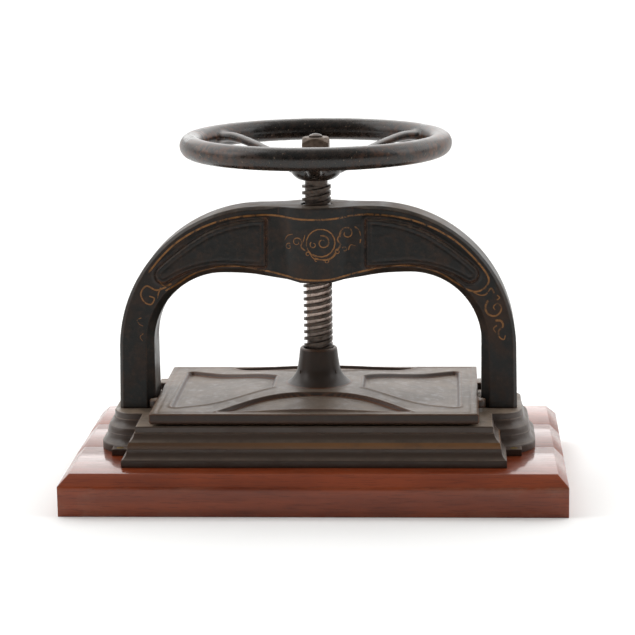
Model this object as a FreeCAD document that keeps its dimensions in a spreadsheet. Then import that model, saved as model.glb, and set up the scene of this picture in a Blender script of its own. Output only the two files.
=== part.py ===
"""Cast-iron bookbinder's nipping press, standing on a mahogany plinth.

The frame's origin is the middle of the plinth's underside: +X runs along the bed towards the right
leg, +Y runs to the back and +Z is up. The press stands on the plinth's top, and it is drawn with its
platen 2.5 mm above the bed. All lengths are millimetres.
"""
import FreeCAD, Part
import math
import os
import Sketcher

Vector = FreeCAD.Vector

SIZES = {
    # mahogany plinth of three boards glued edge to edge
    "plinth_length": 584.0,
    "plinth_width": 358.0,
    "plinth_height": 48.0,
    "plinth_bevel": 12.5,
    "front_seam": -42.0,
    "back_seam": 70.0,
    # base casting: the flat bed and the moulding around it
    "bed_length": 414.0,
    "bed_width": 252.0,
    "base_height": 45.5,
    "bed_edge": 1.5,
    "moulding_reach": 15.6,
    "fillet_foot": 38.0,
    "fillet_step": 1.2,
    "band_top": 28.0,
    "band_bottom": 21.0,
    "band_top_reach": 7.2,
    "band_reach": 8.8,
    "ledge_height": 9.0,
    "ledge_reach": 13.8,
    "fascia_height": 8.0,
    # the rounded lobe under each leg, the lugs beside it and the hollow below
    "lobe_reach": 243.0,
    "lobe_half_width": 62.0,
    "lobe_corner": 28.0,
    "lug_reach": 241.0,
    "lug_half_width": 86.0,
    "lug_height": 8.0,
    "lug_screw_across": 232.0,
    "lug_screw_along": 78.5,
    "wood_screw_shank": 4.8,
    "wood_screw_head": 8.8,
    "wood_screw_length": 34.0,
    "bed_thickness": 14.5,
    "hollow_length": 372.0,
    "hollow_width": 224.0,
    "web_thickness": 10.0,
    "web_spacing": 128.0,
    "bolt_pocket_inner": 200.0,
    "bolt_pocket_outer": 234.0,
    "bolt_pocket_width": 60.0,
    "lobe_plate": 16.0,
    # arch: two legs, a cross-beam and a boss for the nut
    "arch_height": 241.0,
    "arch_crown": 131.0,
    "arch_outer_radius": 170.5,
    "arch_waist": 236.0,
    "arch_waist_height": 70.5,
    "leg_foot_outer": 237.0,
    "leg_inner": 195.0,
    "haunch_height": 78.0,
    "haunch_radius": 84.0,
    "beam_soffit": 162.0,
    "boss_soffit": 151.5,
    "boss_flat": 18.0,
    "boss_sweep": 417.0,
    "leg_foot_depth": 72.0,
    "beam_top_depth": 48.0,
    "leg_inner_bevel": 9.0,
    "leg_outer_bevel": 6.0,
    "boss_depth": 76.0,
    "boss_round": 60.0,
    "boss_cove": 20.0,
    "boss_cove_depth": 50.0,
    "panel_depth": 2.5,
    "panel_inner": 59.0,
    "panel_top": 226.5,
    "panel_bottom": 169.5,
    # two-start square-threaded screw
    "thread_major": 34.5,
    "thread_root": 27.2,
    "thread_lead": 16.0,
    "thread_foot": 62.0,
    "thread_length": 201.5,
    "thread_turns": 14,
    "groove_root_width": 3.4,
    "groove_mouth_width": 4.8,
    "thread_clearance": 0.35,
    "collar_width": 26.8,
    "collar_length": 6.5,
    "toe_width": 26.4,
    "toe_length": 35.5,
    "toe_groove_width": 20.0,
    "toe_groove_height": 6.8,
    "toe_groove_rise": 12.6,
    "square_width": 22.0,
    "stud_width": 16.0,
    "stud_length": 24.3,
    "stud_dome": 2.5,
    # bronze nut pressed up into the boss
    "nut_width": 48.0,
    "nut_length": 63.0,
    "nut_recess": 2.0,
    "grub_width": 8.0,
    "grub_height": 18.0,
    "grub_start": 22.5,
    "grub_length": 13.0,
    # handwheel
    "hub_height": 30.5,
    "hub_foot_width": 40.0,
    "hub_top_width": 44.0,
    "rim_radius": 147.4,
    "rim_width": 27.0,
    "rim_rise": 43.0,
    "spoke_width": 22.0,
    "washer_width": 38.0,
    "washer_thickness": 3.0,
    "wheel_nut_width": 31.0,
    "wheel_nut_height": 17.0,
    # platen with its ribs, boss and guide ears
    "platen_length": 381.0,
    "platen_width": 254.0,
    "platen_edge": 12.5,
    "platen_gap": 2.5,
    "platen_floor": 7.5,
    "hub_rise": 9.5,
    "hub_flat_radius": 60.0,
    "hub_slope_radius": 160.0,
    "side_panel_inner": 54.0,
    "side_panel_outer": 168.0,
    "side_panel_inner_half": 30.0,
    "side_panel_outer_half": 96.0,
    "lens_half_length": 116.0,
    "lens_edge": 116.0,
    "lens_top": 51.0,
    "platen_boss_top": 65.0,
    "platen_boss_width": 45.0,
    "platen_boss_foot": 77.0,
    "ear_radius": 9.0,
    "ear_along": 47.0,
    "ear_height": 10.0,
    "counterbore_width": 36.4,
    "counterbore_depth": 6.0,
    "button_width": 24.0,
    "button_height": 6.7,
    "cross_pin_width": 6.0,
    "cross_pin_length": 44.0,
    # fixings that hold the legs to the base
    "bolt_width": 12.0,
    "bolt_head_flats": 19.0,
    "bolt_head_height": 8.0,
    "bolt_reach": 40.0,
    "bolt_across": 217.0,
    "bolt_along": 16.0,
    "bolt_washer_width": 24.0,
    "bolt_washer_thickness": 2.5,
    "fit_clearance": 0.1,
    "running_clearance": 0.05,
}

ROTATIONS = {
    "XY_Plane": FreeCAD.Rotation(),
    "XZ_Plane": FreeCAD.Rotation(Vector(1, 0, 0), 90),
    "YZ_Plane": FreeCAD.Rotation(0.5, 0.5, 0.5, 0.5),
}

SIDES = {"left": -1, "right": 1}
ENDS = {"front": -1, "back": 1}

doc = FreeCAD.newDocument("nipping_press")
sheet = doc.addObject("Spreadsheet::Sheet", "Sizes")
nodes = []


class Size:
    """A length that remembers the sheet expression it comes from."""

    def __init__(self, value, text):
        self.value = value
        self.text = text

    def combined(self, sign, other, result):
        return Size(result, f"({self.text} {sign} {other.text})")

    def __add__(self, other):
        other = as_size(other)
        return self.combined("+", other, self.value + other.value)

    def __sub__(self, other):
        other = as_size(other)
        return self.combined("-", other, self.value - other.value)

    def __mul__(self, other):
        other = as_size(other)
        return self.combined("*", other, self.value * other.value)

    def __truediv__(self, other):
        other = as_size(other)
        return self.combined("/", other, self.value / other.value)

    def __neg__(self):
        return self * -1


def as_size(thing):
    """A Size, whether it is given one or a plain number."""
    if isinstance(thing, Size):
        return thing
    return Size(float(thing), f"({thing})")


def fill_sheet():
    """Write every driving dimension to the sheet under its own alias."""
    for row, (alias, value) in enumerate(SIZES.items(), start=1):
        sheet.set(f"A{row}", alias)
        sheet.set(f"B{row}", str(value))
        sheet.setAlias(f"B{row}", alias)
    doc.recompute()


def cell(alias):
    """The Size held in the sheet under this alias."""
    return Size(float(sheet.get(alias)), f"Sizes.{alias}")


def bind(item, **sizes):
    """Tie an object's properties to the sheet and return the object."""
    for name, size in sizes.items():
        item.setExpression(name, as_size(size).text)
    return item


def place(item, across=0, along=0, up=0):
    """Tie an object's position to the sheet and return the object."""
    for letter, size in zip("xyz", (across, along, up)):
        item.setExpression(f"Placement.Base.{letter}", as_size(size).text)
    return item


def finished(item, label):
    """Mark an object as a sub-part: its label names its node and its file."""
    item.Label = label
    nodes.append(item)
    return item


# ---------------------------------------------------------------- sketches

def origin_feature(body, role):
    """One of a body's own planes or axes."""
    return next(item for item in body.Origin.OriginFeatures if item.Role == role)


def new_sketch(name, plane, body=None):
    """A sketch on a plane through the origin, in a body or on its own."""
    if body is None:
        sketch = doc.addObject("Sketcher::SketchObject", name)
        sketch.Placement = FreeCAD.Placement(Vector(), ROTATIONS[plane])
    else:
        sketch = body.newObject("Sketcher::SketchObject", name)
        sketch.AttachmentSupport = [(origin_feature(body, plane), "")]
        sketch.MapMode = "FlatFace"
    return sketch


def arc_between(start, end, radius):
    """The shorter arc from start to end: anticlockwise for a positive radius."""
    chord = end - start
    half = chord.Length / 2
    rise = math.sqrt(max(radius * radius - half * half, 0.0))
    left = Vector(-chord.y, chord.x, 0).normalize()
    centre = (start + end) / 2 + left * math.copysign(rise, radius)
    first, last = (start, end) if radius > 0 else (end, start)
    from_angle = math.atan2(first.y - centre.y, first.x - centre.x)
    to_angle = math.atan2(last.y - centre.y, last.x - centre.x)
    circle = Part.Circle(centre, Vector(0, 0, 1), abs(radius))
    return Part.ArcOfCircle(circle, from_angle, to_angle)


def draw(sketch, *corners):
    """Close an outline through its corners, each tied to the sheet.

    A corner is (across, up), or (across, up, radius) when an arc leads to it from the corner
    before. A positive radius turns anticlockwise and a negative one clockwise.
    """
    points = [Vector(as_size(c[0]).value, as_size(c[1]).value, 0) for c in corners]
    ends = []
    for index, corner in enumerate(corners):
        start = points[index - 1]
        end = points[index]
        if len(corner) == 2:
            edge = sketch.addGeometry(Part.LineSegment(start, end))
            ends.append((edge, 1, 2))
            continue
        radius = as_size(corner[2])
        edge = sketch.addGeometry(arc_between(start, end, radius.value))
        ends.append((edge, 1, 2) if radius.value > 0 else (edge, 2, 1))
        rule = sketch.addConstraint(Sketcher.Constraint("Radius", edge, abs(radius.value)))
        sketch.setExpression(f"Constraints[{rule}]", f"abs({radius.text})")
    for index, corner in enumerate(corners):
        edge, _, last = ends[index]
        after, first, _ = ends[(index + 1) % len(corners)]
        sketch.addConstraint(Sketcher.Constraint("Coincident", edge, last, after, first))
        for kind, size in zip(("DistanceX", "DistanceY"), corner):
            size = as_size(size)
            rule = sketch.addConstraint(Sketcher.Constraint(kind, -1, 1, edge, last, size.value))
            sketch.setExpression(f"Constraints[{rule}]", size.text)
    return sketch


def draw_ellipse(sketch, centre_up, width, height):
    """A horizontal or upright ellipse about the sketch's vertical axis, drawn as a spline."""
    quarter = ((width / 2, 0), (0, height / 2), (-width / 2, 0), (0, -height / 2))
    corners = [(x, centre_up + y) for x, y in quarter]
    poles = []
    for index, (x, y) in enumerate(corners):
        ahead_x, ahead_y = corners[(index + 1) % 4]
        poles.append(Vector(x, y, 0))
        poles.append(Vector(x if y == centre_up else ahead_x, ahead_y if y == centre_up else y, 0))
    weights = [1.0, math.sqrt(0.5)] * 4
    curve = Part.BSplineCurve()
    curve.buildFromPolesMultsKnots(poles, [2] * 5, [0, 1, 2, 3, 4], True, 2, weights)
    sketch.addGeometry(curve)
    return sketch


def both_sides(half):
    """Mirror a list of corners that runs from the top left to the foot on the right-hand side."""
    mirrored = []
    for index in range(len(half) - 1, -1, -1):
        across, up = half[index][:2]
        arc_after = half[index + 1][2:] if index + 1 < len(half) else ()
        mirrored.append((-as_size(across), up) + tuple(arc_after))
    return list(half) + mirrored


# ---------------------------------------------------------------- solids

def extrusion(sketch, length, name):
    """A solid that reaches half its length to either side of the sketch."""
    solid = doc.addObject("Part::Extrusion", name)
    solid.Base = sketch
    solid.DirMode = "Normal"
    solid.Solid = True
    solid.Symmetric = True
    return bind(solid, LengthFwd=length)


def revolution(sketch, name):
    """A solid turned about the upright axis."""
    solid = doc.addObject("Part::Revolution", name)
    solid.Source = sketch
    solid.Axis = Vector(0, 0, 1)
    solid.Angle = 360
    solid.Solid = True
    return solid


def box(name, low, high):
    """A box between two corners."""
    solid = doc.addObject("Part::Box", name)
    low = [as_size(value) for value in low]
    high = [as_size(value) for value in high]
    spans = [top - bottom for top, bottom in zip(high, low)]
    bind(solid, Length=spans[0], Width=spans[1], Height=spans[2])
    return place(solid, *low)


def cylinder(name, width, height, across=0, along=0, up=0, turned=None):
    """A cylinder standing on a point, or lying along another axis when it is turned."""
    solid = doc.addObject("Part::Cylinder", name)
    bind(solid, Radius=as_size(width) / 2, Height=height)
    if turned is not None:
        solid.Placement = FreeCAD.Placement(Vector(), turned)
    return place(solid, across, along, up)


def fuse(name, *solids):
    union = doc.addObject("Part::MultiFuse", name)
    union.Shapes = list(solids)
    return union


def common(name, *solids):
    overlap = doc.addObject("Part::MultiCommon", name)
    overlap.Shapes = list(solids)
    return overlap


def cut(name, base, tool):
    remainder = doc.addObject("Part::Cut", name)
    remainder.Base = base
    remainder.Tool = tool
    return remainder


def at_corners(make, across, along):
    """One solid at each of four places, mirrored left to right and front to back."""
    return [
        make(f"{side}_{end}", as_size(across) * x, as_size(along) * y)
        for side, x in SIDES.items()
        for end, y in ENDS.items()
    ]


# ---------------------------------------------------------------- plinth

def plinth_board(label, front, back, outer_edges):
    """One board of the plinth, bevelled on the plinth's outer edges, with pilot holes."""
    body = doc.addObject("PartDesign::Body", label + "_body")
    half = cell("plinth_length") / 2
    sketch = draw(
        new_sketch(label + "_section", "YZ_Plane", body),
        (front, 0), (back, 0), (back, cell("plinth_height")), (front, cell("plinth_height")),
    )
    pad = body.newObject("PartDesign::Pad", label + "_pad")
    pad.Profile = sketch
    pad.Midplane = True
    bind(pad, Length=half * 2)
    doc.recompute()
    bevel = body.newObject("PartDesign::Chamfer", label + "_bevel")
    top = cell("plinth_height").value
    names = []
    for number, edge in enumerate(pad.Shape.Edges, start=1):
        middle = edge.CenterOfMass
        at_end = abs(abs(middle.x) - half.value) < 0.01
        at_side = outer_edges is not None and abs(middle.y - outer_edges.value) < 0.01
        if abs(middle.z - top) < 0.01 and (at_end or at_side):
            names.append(f"Edge{number}")
    bevel.Base = (pad, names)
    bind(bevel, Size=cell("plinth_bevel"))
    body.Tip = bevel
    doc.recompute()
    return body


def make_plinth():
    half = cell("plinth_width") / 2
    front_seam = cell("front_seam")
    back_seam = cell("back_seam")
    boards = {
        "plinth_board_front": (-half, front_seam, -half),
        "plinth_board_middle": (front_seam, back_seam, None),
        "plinth_board_back": (back_seam, half, half),
    }
    for label, (front, back, outer) in boards.items():
        board = plinth_board(label, front, back, outer)
        if outer is None:
            finished(board, label)
            continue
        end = math.copysign(1, outer.value)
        depth = cell("wood_screw_length") - cell("lug_height") + 2
        pilots = [
            cylinder(
                f"{label}_pilot_{side}",
                cell("wood_screw_shank") + cell("fit_clearance"),
                depth + 5,
                cell("lug_screw_across") * x,
                cell("lug_screw_along") * end,
                cell("plinth_height") - depth,
            )
            for side, x in SIDES.items()
        ]
        finished(cut(label + "_drilled", board, fuse(label + "_pilots", *pilots)), label)


# ---------------------------------------------------------------- base casting

def moulding(reach):
    """The right-hand edge of the base, from the bed down to the foot of the moulding."""
    bottom = cell("plinth_height")
    top = bottom + cell("base_height")
    edge = cell("bed_edge")
    return [
        (reach - edge, top),
        (reach, top - edge, -edge),
        (reach, bottom + cell("fillet_foot")),
        (reach + cell("fillet_step"), bottom + cell("fillet_foot") - 0.5),
        (reach + cell("band_top_reach") - 0.8, bottom + cell("band_top") + 0.6, 12),
        (reach + cell("band_top_reach"), bottom + cell("band_top")),
        (reach + cell("band_reach"), bottom + cell("band_bottom"), -16),
        (reach + cell("band_reach") + 0.6, bottom + cell("band_bottom") - 0.6),
        (reach + cell("ledge_reach"), bottom + cell("ledge_height") + 0.6, 13),
        (reach + cell("moulding_reach") - 0.6, bottom + cell("ledge_height")),
        (reach + cell("moulding_reach"), bottom + cell("fascia_height")),
        (reach + cell("moulding_reach"), bottom),
    ]


def moulded_bar(name, plane, reach, length):
    """A bar with the moulding along both of its sides."""
    sketch = draw(new_sketch(name + "_section", plane), *both_sides(moulding(reach)))
    return extrusion(sketch, length, name)


def base_outside():
    """The bed and the two lobes under the legs, with one moulding around them all."""
    width = cell("bed_width") + cell("moulding_reach") * 2
    length = cell("bed_length") + cell("moulding_reach") * 2
    bed = common(
        "bed_block",
        moulded_bar("bed_ends", "XZ_Plane", cell("bed_length") / 2, width + 2),
        moulded_bar("bed_sides", "YZ_Plane", cell("bed_width") / 2, length + 2),
    )
    corner = cell("lobe_corner")
    corner_across = cell("lobe_reach") - corner
    corner_along = cell("lobe_half_width") - corner
    lobe_ends = moulded_bar("lobe_ends", "XZ_Plane", cell("lobe_reach"), corner_along * 2)
    lobe_sides = moulded_bar(
        "lobe_sides", "YZ_Plane", cell("lobe_half_width"), corner_across * 2
    )
    bottom = cell("plinth_height")
    top = bottom + cell("base_height")

    def turned_corner(name, across, along):
        outline = [(0, bottom), (0, top)] + moulding(corner)
        sketch = draw(new_sketch(f"lobe_corner_{name}_section", "XZ_Plane"), *outline)
        return place(revolution(sketch, f"lobe_corner_{name}"), across, along, 0)

    def lug(name, across, along):
        return box(
            f"lug_{name}",
            (across - 20, along - 15, bottom),
            (across + 20, along + 15, bottom + cell("lug_height")),
        )

    corners = at_corners(turned_corner, corner_across, corner_along)
    lugs = at_corners(lug, cell("lug_reach") - 20, cell("lug_half_width") - 15)
    return fuse("base_outside", bed, lobe_ends, lobe_sides, *corners, *lugs)


def make_base():
    bottom = cell("plinth_height")
    under_bed = bottom + cell("base_height") - cell("bed_thickness")
    under_lobe = bottom + cell("base_height") - cell("lobe_plate")
    half_length = cell("hollow_length") / 2
    half_width = cell("hollow_width") / 2
    web = cell("web_thickness") / 2
    spacing = cell("web_spacing") / 2
    spans = {
        "left": (-half_length, -spacing - web),
        "middle": (-spacing + web, spacing - web),
        "right": (spacing + web, half_length),
    }
    tools = [
        box(f"hollow_{name}", (low, -half_width, bottom - 1), (high, half_width, under_bed))
        for name, (low, high) in spans.items()
    ]
    pocket_middle = (cell("bolt_pocket_inner") + cell("bolt_pocket_outer")) / 2
    pocket_half = (cell("bolt_pocket_outer") - cell("bolt_pocket_inner")) / 2
    pocket_along = cell("bolt_pocket_width") / 2
    for side, x in SIDES.items():
        middle = pocket_middle * x
        tools.append(box(
            f"bolt_pocket_{side}",
            (middle - pocket_half, -pocket_along, bottom - 1),
            (middle + pocket_half, pocket_along, under_lobe),
        ))

    def bolt_hole(name, across, along):
        return cylinder(
            f"bolt_hole_{name}", cell("bolt_width") + 1.5, cell("lobe_plate") + 2,
            across, along, under_lobe - 1,
        )

    def lug_hole(name, across, along):
        countersink = doc.addObject("Part::Cone", f"lug_countersink_{name}")
        shank = cell("wood_screw_shank") / 2 + cell("fit_clearance")
        head = cell("wood_screw_head") / 2 + cell("fit_clearance")
        bind(countersink, Radius1=shank, Radius2=head, Height=head - shank)
        place(countersink, across, along, bottom + cell("lug_height") - head + shank)
        through = cylinder(
            f"lug_through_{name}", shank * 2, cell("lug_height") + 2, across, along, bottom - 1
        )
        return fuse(f"lug_hole_{name}", countersink, through)

    tools += at_corners(bolt_hole, cell("bolt_across"), cell("bolt_along"))
    tools += at_corners(lug_hole, cell("lug_screw_across"), cell("lug_screw_along"))
    finished(cut("base_drilled", base_outside(), fuse("base_tools", *tools)), "base_casting")


# ---------------------------------------------------------------- arch

def arch_front_outline():
    """The arch from the front: crown, shoulders, legs, haunches and the boss between them."""
    foot = cell("plinth_height") + cell("base_height")
    inner_top = cell("leg_inner") - cell("haunch_radius")
    return both_sides([
        (cell("arch_crown") / 2, foot + cell("arch_height")),
        (cell("arch_waist"), foot + cell("arch_waist_height"), -cell("arch_outer_radius")),
        (cell("leg_foot_outer"), foot),
        (cell("leg_inner"), foot),
        (cell("leg_inner"), foot + cell("haunch_height")),
        (inner_top, foot + cell("beam_soffit"), cell("haunch_radius")),
        (cell("boss_flat"), foot + cell("boss_soffit"), cell("boss_sweep")),
    ])


def arch_side_prism(name, inset):
    """A prism along X with the arch's tapering depth, less an inset on each face."""
    foot = cell("plinth_height") + cell("base_height")
    low = cell("leg_foot_depth") / 2 - inset
    high = cell("beam_top_depth") / 2 - inset
    sketch = draw(
        new_sketch(name + "_section", "YZ_Plane"),
        (-low, foot), (low, foot),
        (high, foot + cell("arch_height")), (-high, foot + cell("arch_height")),
    )
    return extrusion(sketch, cell("arch_waist") * 2 + 20, name)


def boss_prism():
    """The bulge that holds the nut: round in front and behind, with a cove on either side."""
    deep = cell("boss_depth") / 2
    shallow = cell("boss_cove_depth") / 2
    bulge = cell("boss_round").value
    cove = cell("boss_cove").value
    centre = deep.value - bulge
    drop = shallow.value + cove - centre
    reach = math.sqrt((bulge + cove) ** 2 - drop ** 2)
    share = bulge / (bulge + cove)
    tangent_across = reach * share
    tangent_along = centre + drop * share
    sketch = draw(
        new_sketch("boss_plan", "XY_Plane"),
        (reach, shallow),
        (tangent_across, tangent_along, -cell("boss_cove")),
        (-tangent_across, tangent_along, cell("boss_round")),
        (-reach, shallow, -cell("boss_cove")),
        (-reach, -shallow),
        (-tangent_across, -tangent_along, -cell("boss_cove")),
        (tangent_across, -tangent_along, cell("boss_round")),
        (reach, -shallow, -cell("boss_cove")),
    )
    prism = extrusion(sketch, cell("arch_height"), "boss_prism")
    foot = cell("plinth_height") + cell("base_height")
    return place(prism, 0, 0, foot + cell("arch_height"))


def bevel_legs(blank):
    """Bevel the long edges of the legs and the beam, more on the inside than the outside."""
    doc.recompute()
    foot = cell("plinth_height").value + cell("base_height").value
    waist = cell("arch_waist_height").value + foot
    face = cell("beam_top_depth").value / 2 - 1
    edges = []
    for number, edge in enumerate(blank.Shape.Edges, start=1):
        middle = edge.valueAt((edge.FirstParameter + edge.LastParameter) / 2)
        on_face = abs(middle.y) > face
        on_foot = edge.BoundBox.ZMax < foot + 1
        if on_foot or not on_face:
            continue
        radius = math.hypot(abs(middle.x) - cell("arch_crown").value / 2, middle.z - waist)
        is_outer = radius > cell("arch_outer_radius").value - 5
        size = cell("leg_outer_bevel" if is_outer else "leg_inner_bevel").value
        edges.append((number, size, size))
    bevelled = doc.addObject("Part::Chamfer", "arch_bevelled")
    bevelled.Base = blank
    bevelled.Edges = edges
    return bevelled


def panel_tool():
    """Shallow sunk panels on the front and back of both haunches."""
    foot = cell("plinth_height") + cell("base_height")
    low = foot + cell("panel_bottom")
    high = foot + cell("panel_top")
    inner = cell("panel_inner")
    halves = []
    for side, x in SIDES.items():
        turn = -x
        sketch = draw(
            new_sketch(f"panel_{side}_outline", "XZ_Plane"),
            (inner * x, low),
            (inner * x, high),
            (as_size(132) * x, foot + 209.5, 160 * turn),
            (as_size(188) * x, foot + 168.0, 330 * turn),
            (as_size(178) * x, foot + 151.5, 9.7 * turn),
            (as_size(104) * x, foot + 172.5, -130 * turn),
        )
        halves.append(extrusion(sketch, cell("boss_depth") + 20, f"panel_{side}"))
    core = arch_side_prism("arch_core", cell("panel_depth"))
    return cut("panel_tool", fuse("panel_prisms", *halves), core)


def make_arch():
    foot = cell("plinth_height") + cell("base_height")
    sketch = draw(new_sketch("arch_front", "XZ_Plane"), *arch_front_outline())
    front = extrusion(sketch, cell("boss_depth") + 20, "arch_front_prism")
    blank = common("arch_blank", front, arch_side_prism("arch_side", 0))
    bulge = common("arch_boss", front, boss_prism())
    soffit = foot + cell("boss_soffit")

    def tapped_hole(name, across, along):
        return cylinder(
            f"leg_hole_{name}", cell("bolt_width") + cell("fit_clearance") * 2,
            cell("bolt_reach") + 3, across, along, foot - 1,
        )

    tools = at_corners(tapped_hole, cell("bolt_across"), cell("bolt_along"))
    tools += [
        cylinder("screw_bore", cell("thread_major") + 2.6, cell("arch_height"), 0, 0, soffit - 1),
        cylinder(
            "nut_seat", cell("nut_width") + cell("running_clearance"),
            cell("nut_length") + cell("nut_recess") + 1, 0, 0, soffit - 1,
        ),
        cylinder(
            "grub_bore", cell("grub_width") + cell("fit_clearance"), 30,
            0, cell("grub_start"), soffit + cell("grub_height"),
            turned=FreeCAD.Rotation(Vector(1, 0, 0), -90),
        ),
        panel_tool(),
    ]
    whole = fuse("arch_whole", bevel_legs(blank), bulge)
    bored = cut("arch_bored", whole, fuse("arch_tools", *tools))
    finished(bored, "arch_frame")


# ---------------------------------------------------------------- screw and nut

def helical_groove(body, name, start_up, height, inner, outer, root_width, mouth_width):
    """One right-hand groove of trapezoid section, cut from the body."""
    sketch = draw(
        new_sketch(name + "_section", "XZ_Plane", body),
        (inner, start_up - root_width / 2),
        (outer, start_up - mouth_width / 2),
        (outer, start_up + mouth_width / 2),
        (inner, start_up + root_width / 2),
    )
    doc.recompute()
    groove = body.newObject("PartDesign::SubtractiveHelix", name)
    groove.Profile = sketch
    groove.ReferenceAxis = (origin_feature(body, "Z_Axis"), [""])
    groove.Mode = 0
    bind(groove, Pitch=cell("thread_lead"), Height=height)
    body.Tip = groove
    doc.recompute()
    return groove


def revolved_body(label, *corners):
    """A body turned about the upright axis from a half outline."""
    body = doc.addObject("PartDesign::Body", label + "_body")
    sketch = draw(new_sketch(label + "_outline", "XZ_Plane", body), *corners)
    turned = body.newObject("PartDesign::Revolution", label + "_turned")
    turned.Profile = sketch
    turned.ReferenceAxis = (origin_feature(body, "Z_Axis"), [""])
    turned.Angle = 360
    doc.recompute()
    return body


def screw_levels():
    """Heights of the screw's shoulders, from the toe to the top of the stud."""
    foot = cell("plinth_height") + cell("base_height")
    thread_foot = foot + cell("thread_foot")
    thread_top = thread_foot + cell("thread_length")
    collar_top = thread_top + cell("collar_length")
    return {
        "toe": thread_foot - cell("toe_length"),
        "thread_foot": thread_foot,
        "thread_top": thread_top,
        "collar_top": collar_top,
        "square_top": collar_top + cell("hub_height"),
        "stud_top": collar_top + cell("hub_height") + cell("stud_length"),
    }


def threaded_bar(level):
    """The screw's threaded length: a round bar with two helical grooves."""
    major = cell("thread_major") / 2
    body = revolved_body(
        "thread",
        (0, level["thread_foot"]),
        (major, level["thread_foot"]),
        (major, level["thread_top"]),
        (0, level["thread_top"]),
    )
    pitch = cell("thread_lead") / 2
    for start in range(2):
        helical_groove(
            body, f"screw_groove_{start + 1}",
            level["thread_foot"] - pitch * 1.5 + pitch * start,
            cell("thread_lead") * cell("thread_turns"),
            cell("thread_root") / 2, major + 1.2,
            cell("groove_root_width"), cell("groove_mouth_width"),
        )
    return body


def make_screw():
    """The threaded bar with its toe below, and its collar, square and stud above."""
    level = screw_levels()
    toe = cell("toe_width") / 2
    toe_edge = 1.5
    groove = cell("toe_groove_width") / 2
    groove_middle = level["toe"] + cell("toe_groove_rise")
    groove_half = cell("toe_groove_height") / 2
    collar = cell("collar_width") / 2
    stud = cell("stud_width") / 2
    sketch = draw(
        new_sketch("screw_core_outline", "XZ_Plane"),
        (0, level["toe"]),
        (toe - toe_edge, level["toe"]),
        (toe, level["toe"] + toe_edge),
        (toe, groove_middle - groove_half),
        (groove, groove_middle - groove_half),
        (groove, groove_middle + groove_half),
        (toe, groove_middle + groove_half),
        (toe, level["thread_foot"] + 2),
        (collar, level["thread_foot"] + 4),
        (collar, level["collar_top"]),
        (stud, level["collar_top"]),
        (stud, level["stud_top"] - cell("stud_dome")),
        (0, level["stud_top"], 14.05),
    )
    core = revolution(sketch, "screw_core")
    half = cell("square_width") / 2
    square = box(
        "wheel_square", (-half, -half, level["collar_top"] - 0.5), (half, half, level["square_top"])
    )
    finished(fuse("screw_solid", threaded_bar(level), core, square), "screw_spindle")


def make_arch_nut():
    """The bronze nut: its grooves run half a pitch from the screw's, round the screw's ridges."""
    foot = cell("plinth_height") + cell("base_height")
    bottom = foot + cell("boss_soffit") + cell("nut_recess")
    top = bottom + cell("nut_length")
    gap = cell("thread_clearance")
    bore = cell("thread_root") / 2 + gap
    outer = cell("nut_width") / 2
    entry = 2.5
    overlap = 0.6
    body = revolved_body(
        "nut",
        (bore + entry, bottom), (outer, bottom), (outer, top), (bore + entry, top),
        (bore, top - entry), (bore, bottom + entry),
    )
    pitch = cell("thread_lead") / 2
    rise = cell("thread_major") / 2 - cell("thread_root") / 2
    slope = (cell("groove_mouth_width") - cell("groove_root_width")) / 2 / (rise + 1.2)
    root_width = pitch - cell("groove_root_width") + gap * 2
    depth = rise + gap
    thread_foot = screw_levels()["thread_foot"]
    for start in range(2):
        helical_groove(
            body, f"nut_groove_{start + 1}",
            thread_foot + pitch * start,
            cell("thread_lead") * cell("thread_turns"),
            bore - overlap, bore - gap + depth,
            root_width + slope * overlap * 2,
            root_width - slope * depth * 2,
        )
    dimple = cylinder(
        "grub_dimple", cell("grub_width") + cell("fit_clearance"), 10,
        0, cell("grub_start"), foot + cell("boss_soffit") + cell("grub_height"),
        turned=FreeCAD.Rotation(Vector(1, 0, 0), -90),
    )
    finished(cut("nut_dimpled", body, dimple), "arch_nut")


def make_grub_screw():
    """The slotted screw that keeps the nut from turning, in the back of the boss."""
    foot = cell("plinth_height") + cell("base_height")
    up = foot + cell("boss_soffit") + cell("grub_height")
    start = cell("grub_start") + cell("fit_clearance")
    end = start + cell("grub_length")
    shank = cylinder(
        "grub_shank", cell("grub_width"), cell("grub_length"), 0, start, up,
        turned=FreeCAD.Rotation(Vector(1, 0, 0), -90),
    )
    slot = box("grub_slot", (-5, end - 2, up - 0.6), (5, end + 1, up + 0.6))
    finished(cut("grub_slotted", shank, slot), "nut_set_screw")


# ---------------------------------------------------------------- handwheel

def spoke_section(body, radius, centre_up, height, width):
    """One upright ellipse across the front spoke, at a distance from the axis."""
    name = f"spoke_section_{round(radius)}"
    sketch = new_sketch(name, "XZ_Plane", body)
    sketch.AttachmentOffset = FreeCAD.Placement(Vector(0, 0, radius), FreeCAD.Rotation())
    return draw_ellipse(sketch, centre_up, width, height)


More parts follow.
